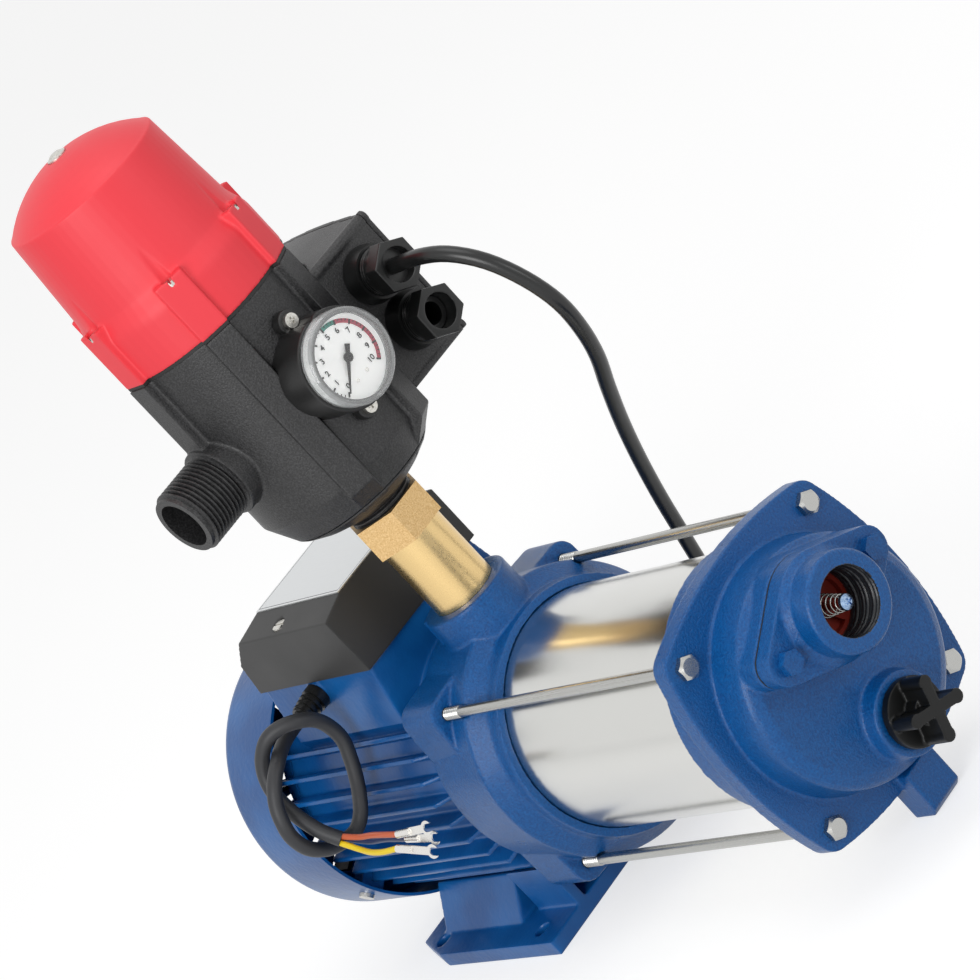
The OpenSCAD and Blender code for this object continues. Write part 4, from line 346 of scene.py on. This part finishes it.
# %% Sheaths
sheath_rubber = moulded("rubber_sheath", "#2d2e31", 0.5, 0.9, 0.02)
lead_vinyl = moulded("black_vinyl_sheath", "#161717", 0.28, 2.0, 0.01)
seal_rubber = moulded("black_seal_rubber", "#101010", 0.55, 0.8, 0.02)
wire_brown = moulded("brown_wire_insulation", "#c8603c", 0.42, 1.2, 0.02)
wire_yellow = moulded("yellow_wire_insulation", "#f0d020", 0.42, 1.2, 0.02)
wire_navy = moulded("navy_wire_insulation", "#20305e", 0.42, 1.2, 0.02)
print("six sheaths")

# %% [markdown]
# ## What is inside, and what is clear
# The parts that nobody sees until the pump is opened still have their real stuff: carbon and
# ceramic at the seal, stacked iron sheets and enamelled copper in the motor. The gauge's
# window and rim are clear acrylic.

# %% Inside and clear finishes
bare_aluminium = finish(
    "bare_aluminium_plate", "#d6d8d9", 1.0, 0.38,
    [
        ("stretch", "Mapping", {"Scale": (0.03, 1.0, 1.0)}, {"Vector": ("place", "Object")}),
        ("lines", "TexNoise", {"Scale": per_mm(0.3), "Detail": 3.0}, {"Vector": ("stretch", "Vector")}),
        ("relief", "Bump", {"Strength": 0.3, "Distance": 0.02 * MM}, {"Height": ("lines", "Fac")}),
        ("gloss", "MapRange", {"To Min": 0.3, "To Max": 0.5}, {"Value": ("lines", "Fac")}),
    ],
    {"Normal": ("relief", "Normal"), "Roughness": ("gloss", "Result")},
)
core_iron = finish(
    "stacked_core_sheets", "#8c8d8f", 1.0, 0.42,
    [
        ("sheets", "TexWave", {"Scale": per_mm(3.2), "wave_type": "BANDS"}, {"Vector": ("place", "Object")}),
        ("relief", "Bump", {"Strength": 0.5, "Distance": 0.05 * MM}, {"Height": ("sheets", "Fac")}),
    ],
    {"Normal": ("relief", "Normal")},
)
copper_wire = finish(
    "enamelled_copper_wire", "#b5622d", 1.0, 0.3,
    [
        ("strands", "TexNoise", {"Scale": per_mm(0.9), "Detail": 3.0}, {"Vector": ("place", "Object")}),
        ("relief", "Bump", {"Strength": 0.8, "Distance": 0.2 * MM}, {"Height": ("strands", "Fac")}),
    ],
    {"Normal": ("relief", "Normal")},
)
carbon = moulded("carbon_ring", "#1d1d1f", 0.4, 0.6, 0.01)
ceramic = moulded("white_ceramic", "#e8e4da", 0.25, 1.5, 0.005)
needle_ink = moulded("black_needle_enamel", "#161616", 0.35, 1.0, 0.01)
tinned_copper = finish(
    "tinned_copper", "#e2e0dc", 1.0, 0.24,
    [
        ("spots", "TexNoise", {"Scale": per_mm(0.7), "Detail": 2.0}, {"Vector": ("place", "Object")}),
        ("relief", "Bump", {"Strength": 0.5, "Distance": 0.03 * MM}, {"Height": ("spots", "Fac")}),
        ("gloss", "MapRange", {"To Min": 0.18, "To Max": 0.36}, {"Value": ("spots", "Fac")}),
    ],
    {"Normal": ("relief", "Normal"), "Roughness": ("gloss", "Result")},
)
clear_acrylic = finish(
    "clear_acrylic", "#ffffff", 0.0, 0.02,
    [
        ("haze", "TexNoise", {"Scale": per_mm(9), "Detail": 2.0}, {"Vector": ("place", "Object")}),
        ("gloss", "MapRange", {"To Min": 0.01, "To Max": 0.05}, {"Value": ("haze", "Fac")}),
    ],
    {"Roughness": ("gloss", "Result")},
    Transmission_Weight=1.0, IOR=1.49,
)
clear_rim = finish(
    "clear_rim_acrylic", "#f4f6f6", 0.0, 0.08,
    [
        ("haze", "TexNoise", {"Scale": per_mm(4), "Detail": 2.0}, {"Vector": ("place", "Object")}),
        ("gloss", "MapRange", {"To Min": 0.05, "To Max": 0.16}, {"Value": ("haze", "Fac")}),
    ],
    {"Roughness": ("gloss", "Result")},
    Transmission_Weight=0.75, IOR=1.49,
)
print("finishes of the inside and the window")

# %% [markdown]
# ## The cables
# Three cables leave the pump. A cable is a line with a thickness, so each one is a curve with
# a round bevel through the points that the CAD route has. A cubic through each four points
# makes the line smooth. The mains lead goes down behind the pump and is put away there in a
# flat coil of two layers, with its plug beside it.


# %% Curves through points
def smoothed(points, steps):
    """A cubic through the points, with that many steps from one to the next."""
    made = []
    for i in range(len(points) - 1):
        a, b, c, d = (
            Vector(points[min(max(i + k, 0), len(points) - 1)]) for k in (-1, 0, 1, 2)
        )
        for k in range(steps):
            t = k / steps
            made.append(
                (2 * b + (c - a) * t + (2 * a - 5 * b + 4 * c - d) * t**2
                 + (3 * b - a - 3 * c + d) * t**3) / 2
            )
    return made + [Vector(points[-1])]


def length_of(line):
    """Length of a line of points."""
    return sum((b - a).length for a, b in zip(line, line[1:]))


def cable(name, line, diameter, material, nodes):
    """A round cable along a line of points in metres, that stands for these CAD nodes."""
    data = bpy.data.curves.new(name, "CURVE")
    data.dimensions = "3D"
    spline = data.splines.new("POLY")
    spline.points.add(len(line) - 1)
    for point, place in zip(spline.points, line):
        point.co = (*place, 1)
    data.bevel_depth = diameter / 2
    data.bevel_resolution = 5
    data.use_fill_caps = True
    data.materials.append(material)
    piece = bpy.data.objects.new(name, data)
    bpy.context.scene.collection.objects.link(piece)
    only(piece)
    bpy.ops.object.shade_smooth()
    if nodes:
        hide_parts(*nodes)
    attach(piece, "pump")
    return piece


# %% Motor lead and its wires
MOTOR_ROUTE = [
    [9, -59, 155], [10, -69, 155], [14, -79, 155], [20, -89, 154], [22, -98, 150],
    [22, -105, 143], [22, -109, 135], [20, -110, 126], [18, -107, 116], [16, -100, 108],
    [14, -91, 103], [14, -82, 101], [15, -75, 104], [18, -70, 111], [21, -66, 119],
    [23, -62, 128], [25, -59, 138], [26, -60, 148], [27, -64, 156], [26, -71, 162],
    [22, -78, 165], [17, -84, 164], [11, -89, 158], [8, -93, 150], [9, -96, 142],
    [13, -98, 134], [18, -99, 126], [24, -99, 118], [30, -97, 110],
]
MOTOR_LEAD_D = 7.3
motor_line = [p * MM for p in smoothed(MOTOR_ROUTE, 4)]
motor_lead = cable("motor_cable", motor_line, MOTOR_LEAD_D * MM, sheath_rubber, ["motor_lead"])
print(f"motor lead {length_of(motor_line):.3f} m")

WIRE_ROUTES = [
    [[41, -95, 108], [52, -95, 108], [64, -96, 108], [75, -96, 107]],
    [[41, -99, 104], [52, -101, 103], [64, -102, 103], [75, -101, 103]],
    [[41, -93, 103], [52, -92, 102], [64, -93, 102], [75, -94, 102]],
]
WIRE_D = 2.9
WIRE_RING_R = 1.9
WIRE_LAP = 1.5
sheath_end = Vector(MOTOR_ROUTE[-1])
sheath_way = (sheath_end - Vector(MOTOR_ROUTE[-2])).normalized()
sheath_side = (Vector((0, 0, 1)) - sheath_way * sheath_way.z).normalized()
for k, (shade, material) in enumerate(
    [("brown", wire_brown), ("yellow", wire_yellow), ("navy", wire_navy)]
):
    turn = math.radians(360 / len(WIRE_ROUTES) * k)
    foot = sheath_end + WIRE_RING_R * (
        math.cos(turn) * sheath_side + math.sin(turn) * sheath_way.cross(sheath_side)
    )
    start = foot - sheath_way * WIRE_LAP
    line = [p * MM for p in smoothed([start, foot, *WIRE_ROUTES[k]], 5)]
    nodes = ["motor_lead_wires"] if k == 0 else []
    cable(f"wire_{shade}", line, WIRE_D * MM, material, nodes)
    print(f"wire {shade} {length_of(line):.3f} m")

# %% Mains lead
MAINS_ROUTE = [
    [160, 54, 303], [182, 54, 303], [197, 57, 298], [208, 62, 286], [214, 67, 269],
    [215, 71, 251], [208, 75, 233], [196, 79, 215], [180, 82, 196], [162, 86, 174],
    [145, 90, 150], [129, 94, 124], [114, 98, 96], [100, 101, 68], [85, 102, 40],
    [66, 102, 17], [44, 102, 6], [20, 102, 3.7], [-2.6, 102, 3.7],
]
TAIL_ROUTE = [[-17.4, 102, 11.9], [-36, 102, 12.4], [-54, 102, 14.4], [-72, 102, 17], [-90, 102, 19]]
MAINS_D = 7.4
COIL_MID = (-10, 149)
COIL_TURNS = 4
COIL_R = 47
COIL_STEP = 8.2
COIL_STEPS = 40


def coil_at(turns):
    """Place on the coil after that many turns: in over the lower layer, out over the upper one."""
    r = COIL_R - COIL_STEP * min(turns, COIL_TURNS - turns)
    a = math.radians(-90 - 360 * turns)
    t = min(max(2 * (turns - COIL_TURNS / 2) + 0.5, 0), 1)
    z = MAINS_D / 2 + COIL_STEP * t * t * (3 - 2 * t)
    return Vector((COIL_MID[0] + r * math.cos(a), COIL_MID[1] + r * math.sin(a), z))


coil_line = [coil_at(i / COIL_STEPS) for i in range(COIL_TURNS * COIL_STEPS + 1)]
mains_line = smoothed(MAINS_ROUTE, 4) + coil_line + smoothed(TAIL_ROUTE, 4)
mains_line = [p * MM for p in mains_line]
mains_lead = cable(
    "mains_cable", mains_line, MAINS_D * MM, lead_vinyl, ["mains_lead", "mains_coil"]
)
print(f"mains lead {length_of(mains_line):.3f} m")

# %% [markdown]
# ## Floor and light
# The picture has a plain white ground, and a soft light from the viewer's left that comes from
# a large lamp. The floor is a diffuse sheet with a little glow of its own that only the camera
# and reflections see, so it looks white and still shows the pump's shadow. The world is white
# to the camera and to metal, and a plain grey light to everything else.

# %% Floor
FLOOR_HALF = 12.0
bpy.ops.mesh.primitive_plane_add(size=2 * FLOOR_HALF, location=(0, 0, 0))
floor = only(bpy.context.object)
floor.name = "floor"
print("floor", 2 * FLOOR_HALF, "m wide")


# %% What each ray sees
def by_ray(tree, lighting, shown, end):
    """Ends a tree in one shader for lighting the pump, and another for what is seen directly."""
    path = add_node(tree, "LightPath", {})
    seen = (path, "Is Camera Ray")
    for other in ("Is Glossy Ray", "Is Transmission Ray"):
        most = add_node(tree, "Math", {"operation": "MAXIMUM"})
        tree.links.new(seen[0].outputs[seen[1]], most.inputs[0])
        tree.links.new(path.outputs[other], most.inputs[1])
        seen = (most, 0)
    choice = add_node(tree, "MixShader", {}, {"Fac": seen})
    tree.links.new(lighting.outputs[0], choice.inputs[1])
    tree.links.new(shown.outputs[0], choice.inputs[2])
    add_node(tree, end, {}, {"Surface": (choice, 0)})


def bare_tree(owner):
    """The node tree of a material or world, emptied."""
    owner.use_nodes = True
    for old in list(owner.node_tree.nodes):
        owner.node_tree.nodes.remove(old)
    return owner.node_tree


# %% Ground and sky
GROUND_COLOUR, GROUND_GLOW = "#bcbcbc", 0.62
SKY_LIGHT, SKY_SEEN = 0.55, 1.0

ground = bpy.data.materials.new("white_ground")
tree = bare_tree(ground)
matt = add_node(tree, "BsdfDiffuse", {"Color": GROUND_COLOUR})
glow = add_node(tree, "Emission", {"Color": "#ffffff", "Strength": GROUND_GLOW})
both = add_node(tree, "AddShader", {})
tree.links.new(matt.outputs[0], both.inputs[0])
tree.links.new(glow.outputs[0], both.inputs[1])
by_ray(tree, matt, both, "OutputMaterial")
floor.data.materials.append(ground)

world = bpy.data.worlds.new("studio")
bpy.context.scene.world = world
tree = bare_tree(world)
soft = add_node(tree, "Background", {"Color": "#ffffff", "Strength": SKY_LIGHT})
white = add_node(tree, "Background", {"Color": "#ffffff", "Strength": SKY_SEEN})
by_ray(tree, soft, white, "OutputWorld")
bpy.context.scene.view_settings.view_transform = "Standard"

# %% Lamps
AIM = Vector((110, 0, 150)) * MM
for name, way, distance, size, power in (
    ("key_softbox", (0.50, -0.80, 0.34), 1.9, 1.1, 17.0),
    ("top_softbox", (0.25, 0.20, 0.95), 1.8, 1.3, 7.0),
    ("end_fill", (0.92, 0.30, 0.25), 2.2, 0.9, 4.0),
):
    place = AIM + Vector(way).normalized() * distance
    bpy.ops.object.light_add(type="AREA", location=place)
    lamp = bpy.context.object
    lamp.name = name
    lamp.rotation_euler = (AIM - place).to_track_quat("-Z", "Y").to_euler()
    lamp.data.shape = "DISK"
    lamp.data.size = size
    lamp.data.energy = power
print("floor, world and three lamps")

# %% [markdown]
# ## Copies of the CAD parts
# A CAD part's mesh is loose triangles with hard edges, so each part that shows gets a copy:
# the doubles are merged, and the shading is made smooth below an angle. A CAD part's mesh is
# loose triangles with hard edges, and it may not be changed. A casting or a moulding has no
# sharp edge anywhere. A voxel remesh turns its copy into even small squares, a few smoothing
# passes round every edge and fill every corner as sand and paint do, and a decimation takes
# away what flat faces don't need.

# %% Copy and soften
MOST_TRIANGLES = 150_000
SMOOTH_ANGLE = math.radians(32)
MERGE_GAP = 1e-6


def use_modifier(piece, kind, **fields):
    """Adds a modifier with its fields and applies it."""
    only(piece)
    added = piece.modifiers.new(kind.lower(), kind)
    for field, value in fields.items():
        setattr(added, field, value)
    bpy.ops.object.modifier_apply(modifier=added.name)


def copy_of(node, name):
    """A copy of a CAD node's mesh as one closed skin."""
    piece = bpy.data.objects.new(name, frame["nodes"][node].data.copy())
    bpy.context.scene.collection.objects.link(piece)
    only(piece)
    bpy.ops.object.mode_set(mode="EDIT")
    bpy.ops.mesh.select_all(action="SELECT")
    bpy.ops.mesh.remove_doubles(threshold=MERGE_GAP)
    bpy.ops.object.mode_set(mode="OBJECT")
    bpy.ops.mesh.customdata_custom_splitnormals_clear()
    return piece


def trim(piece, place, way):
    """Cuts away what lies beyond a plane, and closes the cut."""
    only(piece)
    bpy.ops.object.mode_set(mode="EDIT")
    bpy.ops.mesh.select_all(action="SELECT")
    bpy.ops.mesh.bisect(plane_co=place, plane_no=way, use_fill=True, clear_outer=True)
    bpy.ops.object.mode_set(mode="OBJECT")


def soften(piece, voxel, passes):
    """Remeshes in voxels of so many millimetres and rounds all edges."""
    use_modifier(piece, "REMESH", mode="VOXEL", voxel_size=voxel * MM)
    use_modifier(piece, "SMOOTH", factor=0.5, iterations=passes)
    count = sum(len(f.vertices) - 2 for f in piece.data.polygons)
    if count > MOST_TRIANGLES:
        use_modifier(piece, "DECIMATE", ratio=MOST_TRIANGLES / count)


def settle(piece, material, node):
    """Shades a finished copy, gives it its material and puts it on its body in its node's place."""
    only(piece)
    piece.data.materials.clear()
    piece.data.materials.append(material)
    bpy.ops.object.shade_smooth_by_angle(angle=SMOOTH_ANGLE)
    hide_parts(node)
    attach(piece, frame["nodes"][node]["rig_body"])
    return piece


# %% [markdown]
# ## Castings and mouldings
# Here the copies are softened one after another. The two numbers are the voxel in millimetres
# and the smoothing passes. Wings, nuts and threads want voxels of half a millimetre and few
# passes, and the large castings are content with larger voxels and more passes.

# %% Castings and mouldings
SOFTENED = [
    ("suction_cover", "cover_casting", cast_enamel, "blue_enamel", 0.65, 8),
    ("discharge_bracket", "bracket_casting", cast_enamel, "blue_enamel", 0.75, 7),
    ("suction_flange", "suction_flange_casting", cast_enamel, "blue_enamel", 0.5, 3),
    ("motor_housing", "motor_housing_casting", smooth_enamel, "blue_enamel", 0.75, 3),
    ("motor_foot", "motor_foot_casting", smooth_enamel, "blue_enamel", 0.8, 5),
    ("controller_cap", "cap_moulding", cap_red, "red_plastic", 0.6, 5),
    ("terminal_cover", "terminal_moulding", cover_grey, "black_plastic", 0.55, 3),
    ("gauge_cup", "gauge_cup_moulding", matt_black, "black_plastic", 0.5, 3),
    ("electronics_case", "case_moulding", grained_black, "black_plastic", 0.55, 4),
    ("electronics_panel", "panel_moulding", grained_black, "black_plastic", 0.7, 2),
    ("drain_plug", "drain_plug_moulding", satin_black, "black_plastic", 0.45, 3),
    ("gland_nuts", "gland_nut_mouldings", gloss_black, "black_plastic", 0.45, 2),
]
for node, name, material, slot, voxel, passes in SOFTENED:
    piece = copy_of(node, name)
    soften(piece, voxel, passes)
    settle(piece, material, node)
    print(name, len(piece.data.polygons), "faces")

# %% [markdown]
# ## The controller's body
# Its two pipe threads are finer than the voxels that suit the rest, so they are cut off the
# copy with a bisect and kept as sharp pieces. The seam where bowl and body meet would melt
# away too, so the copy is also cut there: bowl and body are softened apart, each with its own
# rounded lip, and the floor of the seam stays sharp between them.

# %% Controller body
OUTLET_PLANE = Vector((102.4, -54.5, 285)) * MM
INLET_PLANE = Vector((102.4, 0, 224.4)) * MM
SEAM_LOW = Vector((102.4, 0, 234.1)) * MM
SEAM_HIGH = Vector((102.4, 0, 235.3)) * MM
FRONT, DOWN, UP = Vector((0, -1, 0)), Vector((0, 0, -1)), Vector((0, 0, 1))
BODY_VOXEL, BODY_PASSES = 0.6, 4
for name, cuts, softer in (
    ("controller_moulding", [(OUTLET_PLANE, FRONT), (SEAM_HIGH, DOWN)], True),
    ("bowl_moulding", [(INLET_PLANE, DOWN), (SEAM_LOW, UP)], True),
    ("seam_floor", [(SEAM_HIGH, UP), (SEAM_LOW, DOWN)], False),
    ("outlet_thread", [(OUTLET_PLANE, -FRONT)], False),
    ("inlet_thread", [(INLET_PLANE, -DOWN)], False),
):
    piece = copy_of("controller_body", name)
    for place, way in cuts:
        trim(piece, place, way)
    if softer:
        soften(piece, BODY_VOXEL, BODY_PASSES)
    settle(piece, grained_black, "controller_body")
    print(name, len(piece.data.polygons), "faces")

# %% [markdown]
# ## Parts that stay sharp
# Turned, drawn and stamped parts keep their crisp edges, so their copies are only merged and
# shaded. The neck is one forging with two finishes: what stands out past its turned round
# part is the hexagon, and the distance from its axis tells the two apart.

# %% Sharp parts
SHARP = [
    ("suction_gasket", seal_rubber, "rubber"),
    ("suction_flange_screws", cast_enamel, "blue_enamel"),
    ("check_valve_guide", valve_red, "red_valve"),
    ("check_valve_disc", valve_red, "red_valve"),
    ("check_valve_screw", blued_steel, "zinc_steel"),
    ("drain_plug_seal", seal_rubber, "rubber"),
    ("tie_bolts", rod_steel, "zinc_steel"),
    ("pump_tube", tube_steel, "polished_steel"),
    ("tube_seals", seal_rubber, "rubber"),
    ("rear_end_shield", smooth_enamel, "blue_enamel"),
    ("fan_cover", smooth_enamel, "blue_enamel"),
    ("fan_cover_screws", zinc_steel, "zinc_steel"),
    ("foot_screws", zinc_steel, "zinc_steel"),
    ("cooling_fan", matt_black, "black_plastic"),
    ("terminal_cover_screws", zinc_steel, "zinc_steel"),
    ("motor_lead_gland", gloss_black, "black_plastic"),
    ("fork_terminals", tinned_copper, "zinc_steel"),
    ("controller_screws", zinc_steel, "zinc_steel"),
    ("cap_air_valve", zinc_steel, "zinc_steel"),
    ("gauge_dial", dial_white, "white_plastic"),
    ("gauge_needle", needle_ink, "needle_black"),
    ("gauge_bezel", clear_rim, "clear_rim"),
    ("gauge_lens", clear_acrylic, "clear_plastic"),
    ("restart_button", cap_red, "red_plastic"),
    ("cable_glands", gloss_black, "black_plastic"),
    ("mains_plug", gloss_black, "black_plastic"),
]
for node, material, slot in SHARP:
    settle(copy_of(node, node + "_shown"), material, node)

# %% Brass neck
NECK_X, NECK_ROUND_R = 102.4, 16.5
neck = settle(copy_of("outlet_adapter", "brass_neck"), turned_brass, "outlet_adapter")
neck.data.materials.append(forged_brass)
for face in neck.data.polygons:
    reach = math.hypot(face.center.x - NECK_X * MM, face.center.y)
    face.material_index = int(reach > NECK_ROUND_R * MM)
print("brass neck")

# %% Inside parts
INSIDE = {
    "impellers": wheel_plastic, "diffusers": wheel_plastic, "shaft_nut": zinc_steel,
    "seal_rotary": carbon, "seal_seat": ceramic, "pump_shaft": rod_steel,
    "front_bearing": zinc_steel, "rear_bearing": zinc_steel, "rotor_core": core_iron,
    "stator_core": core_iron, "stator_windings": copper_wire, "run_capacitor": ivory_plastic,
    "diaphragm": seal_rubber, "flow_piston": grained_black,
}
for node, material in INSIDE.items():
    inner = frame["nodes"][node].data
    inner.materials.clear()
    inner.materials.append(material)
    for face in inner.polygons:
        face.material_index = 0
print(len(INSIDE), "inside parts")

# %% [markdown]
# ## The valve spring
# The spring is a cone of wire. A curve with a round bevel, made into a mesh, is the simplest
# way.

# %% Valve spring
SPRING_BACK, SPRING_LEN = 324.05, 15.0
SPRING_BIG, SPRING_SMALL, SPRING_CURLS, SPRING_WIRE = 5.2, 3.3, 5, 0.4
SPRING_Z = 84 + 29.7
SPRING_STEPS = 24 * SPRING_CURLS
spring_points = []
for i in range(SPRING_STEPS + 1):
    u = i / SPRING_STEPS
    r = SPRING_BIG + (SPRING_SMALL - SPRING_BIG) * u
    a = 2 * math.pi * SPRING_CURLS * u
    rise = SPRING_WIRE + (SPRING_LEN - 2 * SPRING_WIRE) * u
    spring_points.append(
        Vector((SPRING_BACK + rise, r * math.cos(a), SPRING_Z + r * math.sin(a))) * MM
    )
spring = cable(
    "valve_spring", spring_points, 2 * SPRING_WIRE * MM, rod_steel, ["check_valve_spring"]
)
only(spring)
bpy.ops.object.convert(target="MESH")
spring = bpy.context.object
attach(spring, "pump")
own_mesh(spring)
print("valve spring", len(spring.data.polygons), "faces")

# %% [markdown]
# ## The gauge's face
# The dial counts from 0 at the lower left to 10 at the lower right, over three quarters of a
# turn. A green arc runs from 5 to 6 and a red one from 6 to 10. Arcs are an edge spun round
# the dial's axis, ticks are thin bars placed round it, and the numbers are text made a mesh.
# Two small rivets below the centre hold the dial.

# %% Dial face
DIAL_X = 169.62
DIAL_Z = 296
DIAL_START, DIAL_STEP = 225, -27
INK_T = 0.05
SCALE_END, SCALE_OUT_R = 10, 17.4
ARC_IN_R, SHORT_TICK_R, LONG_TICK_R = 15.4, 16.4, 15.0
SHORT_TICK_HALF, LONG_TICK_HALF, TICK_TAPER = 0.032, 0.06, 0.9
TICKS_EACH, TICK_LIFT = 4, 0.03
DIAL_MID = Vector((DIAL_X, 0, DIAL_Z)) * MM
ink_black = moulded("black_dial_ink", "#2a2c2d", 0.5, 1.0, 0.005)
ink_red = moulded("red_dial_ink", "#b8485c", 0.5, 1.0, 0.005)
ink_green = moulded("green_dial_ink", "#2f8577", 0.5, 1.0, 0.005)


def dial_point(r, value):
    """Place on the dial at a radius in millimetres and a value of its scale."""
    a = math.radians(DIAL_START + DIAL_STEP * value)
    return DIAL_MID + Vector((0, r * math.cos(a), r * math.sin(a))) * MM


def settle_ink(piece, material):
    """Gives an inked form its thickness, its material and its body."""
    use_modifier(piece, "SOLIDIFY", thickness=INK_T * MM, offset=0)
    piece.data.materials.append(material)
    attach(piece, "pump")
    return piece


def arc(name, r_in, r_out, value_a, value_b, material):
    """A flat arc on the dial: an edge from r_in to r_out spun from one value to another."""
    data = bpy.data.meshes.new(name)
    data.from_pydata([dial_point(r_in, value_a), dial_point(r_out, value_a)], [(0, 1)], [])
    piece = bpy.data.objects.new(name, data)
    bpy.context.scene.collection.objects.link(piece)
    only(piece)
    bpy.ops.object.mode_set(mode="EDIT")
    bpy.ops.mesh.select_all(action="SELECT")
    bpy.ops.mesh.spin(
        steps=max(4, int(8 * (value_b - value_a))),
        angle=-math.radians(DIAL_STEP * (value_b - value_a)),
        center=DIAL_MID,
        axis=(1, 0, 0),
    )
    bpy.ops.mesh.select_all(action="SELECT")
    bpy.ops.mesh.normals_make_consistent(inside=False)
    bpy.ops.object.mode_set(mode="OBJECT")
    return settle_ink(piece, material)


arc("dial_green_arc", ARC_IN_R, SCALE_OUT_R, 5, 6, ink_green)
arc("dial_red_arc", ARC_IN_R, SCALE_OUT_R, 6, SCALE_END, ink_red)
ticks = []
for tick in range(SCALE_END * TICKS_EACH + 1):
    long_tick = tick % TICKS_EACH == 0
    value = tick / TICKS_EACH
    data = bpy.data.meshes.new("tick")
    inner_r = LONG_TICK_R if long_tick else SHORT_TICK_R
    wide = LONG_TICK_HALF if long_tick else SHORT_TICK_HALF
    tip = wide * TICK_TAPER
    data.from_pydata(
        [dial_point(inner_r, value - wide), dial_point(SCALE_OUT_R, value - tip),
         dial_point(SCALE_OUT_R, value + tip), dial_point(inner_r, value + wide)],
        [], [(0, 1, 2, 3)],
    )
    piece = bpy.data.objects.new("tick", data)
    bpy.context.scene.collection.objects.link(piece)
    ticks.append(piece)
only(ticks[0])
for piece in ticks:
    piece.select_set(True)
bpy.ops.object.join()
ticks = bpy.context.object
ticks.name = "dial_ticks"
for vertex in ticks.data.vertices:
    vertex.co.x += TICK_LIFT * MM
settle_ink(ticks, ink_black)

FACE_AXES = Matrix(((0, 0, 1), (1, 0, 0), (0, 1, 0))).to_4x4()
NUMBER_R, NUMBER_SIZE, NUMBER_BOLD = 12.4, 3.8, 0.07
numbers = []
for value in range(SCALE_END + 1):
    bpy.ops.object.text_add()
    number = bpy.context.object
    number.data.body = str(value)
    number.data.size = NUMBER_SIZE * MM
    number.data.offset = NUMBER_BOLD * MM
    number.data.align_x, number.data.align_y = "CENTER", "CENTER"
    number.data.extrude = INK_T * MM / 2
    bpy.ops.object.convert(target="MESH")
    number = bpy.context.object
    number.data.transform(Matrix.Translation(dial_point(NUMBER_R, value)) @ FACE_AXES)
    number.matrix_world = Matrix.Identity(4)
    numbers.append(number)
only(numbers[0])
for piece in numbers:
    piece.select_set(True)
bpy.ops.object.join()
numbers = bpy.context.object
numbers.name = "dial_numbers"
numbers.data.materials.clear()
numbers.data.materials.append(ink_black)
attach(numbers, "pump")
print("dial with", len(numbers.data.polygons), "faces of numbers")

# %% Rivets of the dial
RIVET_R, RIVET_OUT, RIVET_RING, RIVET_EDGE = 0.95, 0.35, 11.0, 0.2
RIVET_ANGLES = (-72, -108)
for k, angle in enumerate(RIVET_ANGLES):
    a = math.radians(angle)
    place = DIAL_MID + Vector((RIVET_OUT / 2, RIVET_RING * math.cos(a), RIVET_RING * math.sin(a))) * MM
    bpy.ops.mesh.primitive_cylinder_add(
        vertices=24, radius=RIVET_R * MM, depth=RIVET_OUT * MM, location=place, rotation=(0, math.pi / 2, 0)
    )
    bpy.ops.object.transform_apply(location=True, rotation=True, scale=True)
    rivet = bpy.context.object
    rivet.name = f"dial_rivet_{k + 1}"
    use_modifier(rivet, "BEVEL", width=RIVET_EDGE * MM, segments=3)
    bpy.ops.object.shade_smooth_by_angle(angle=SMOOTH_ANGLE)
    rivet.data.materials.append(tinned_copper)
    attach(rivet, "pump")
print("two rivets")

# %% [markdown]
# ## The bare label
# The plate on the terminal cover carries no words here. It is a thin aluminium plate with a
# printed line round its edge. Two insets of its front face draw that line: the first sets the
# margin and the second is as wide as the line, so the faces that touch the innermost region
# are the line itself.

# %% Label
LABEL_MARGIN, LABEL_LINE = 1.3, 0.45
SAME_WAY = 0.999
plate = copy_of("rating_plate", "bare_plate")
front_way = max(plate.data.polygons, key=lambda f: f.area * (f.normal.z > 0)).normal.copy()
only(plate)
bpy.ops.object.mode_set(mode="EDIT")
bpy.context.tool_settings.mesh_select_mode = (False, False, True)
bpy.ops.mesh.select_all(action="DESELECT")
bpy.ops.object.mode_set(mode="OBJECT")
for face in plate.data.polygons:
    face.select = face.normal.dot(front_way) > SAME_WAY
bpy.ops.object.mode_set(mode="EDIT")
for thickness in (LABEL_MARGIN, LABEL_LINE):
    bpy.ops.mesh.inset(thickness=thickness * MM)
bpy.ops.object.mode_set(mode="OBJECT")
blank = {face.index for face in plate.data.polygons if face.select}
bpy.ops.object.mode_set(mode="EDIT")
bpy.ops.mesh.select_more(use_face_step=True)
bpy.ops.object.mode_set(mode="OBJECT")
line_faces = [face.index for face in plate.data.polygons if face.select and face.index not in blank]
settle(plate, bare_aluminium, "rating_plate")
plate.data.materials.append(ink_black)
for i in line_faces:
    plate.data.polygons[i].material_index = 1
print("label plate with", len(line_faces), "faces of line")

# %% [markdown]
# ## Inside of the inlet
# The socket's thread is given a near-black colour: painted shade that stands for the dark inside
# the bore. The faces near the port's axis get that colour, all but the front face of the socket's rim.

# %% Inside of the inlet
SOCKET_R, FRONT_FACE = 17.4, 0.9
socket = bpy.data.objects["suction_flange_casting"]
# The painted shade of the bore goes on the faces inside the port.
socket.data.materials.append(bore_painted_shade)
for face in socket.data.polygons:
    reach = math.hypot(face.center.y, face.center.z - SPRING_Z * MM)
    face.material_index = int(reach < SOCKET_R * MM and face.normal.x < FRONT_FACE)
print("dark faces in the socket:", sum(face.material_index for face in socket.data.polygons))

# %% [markdown]
# ## Telling the frame about the cables
# Each cable says where it starts, how long and thick it is and what is on its end, so that
# someone who hangs the pump elsewhere can let the cable fall in its own way.

# %% End
print("scene built")
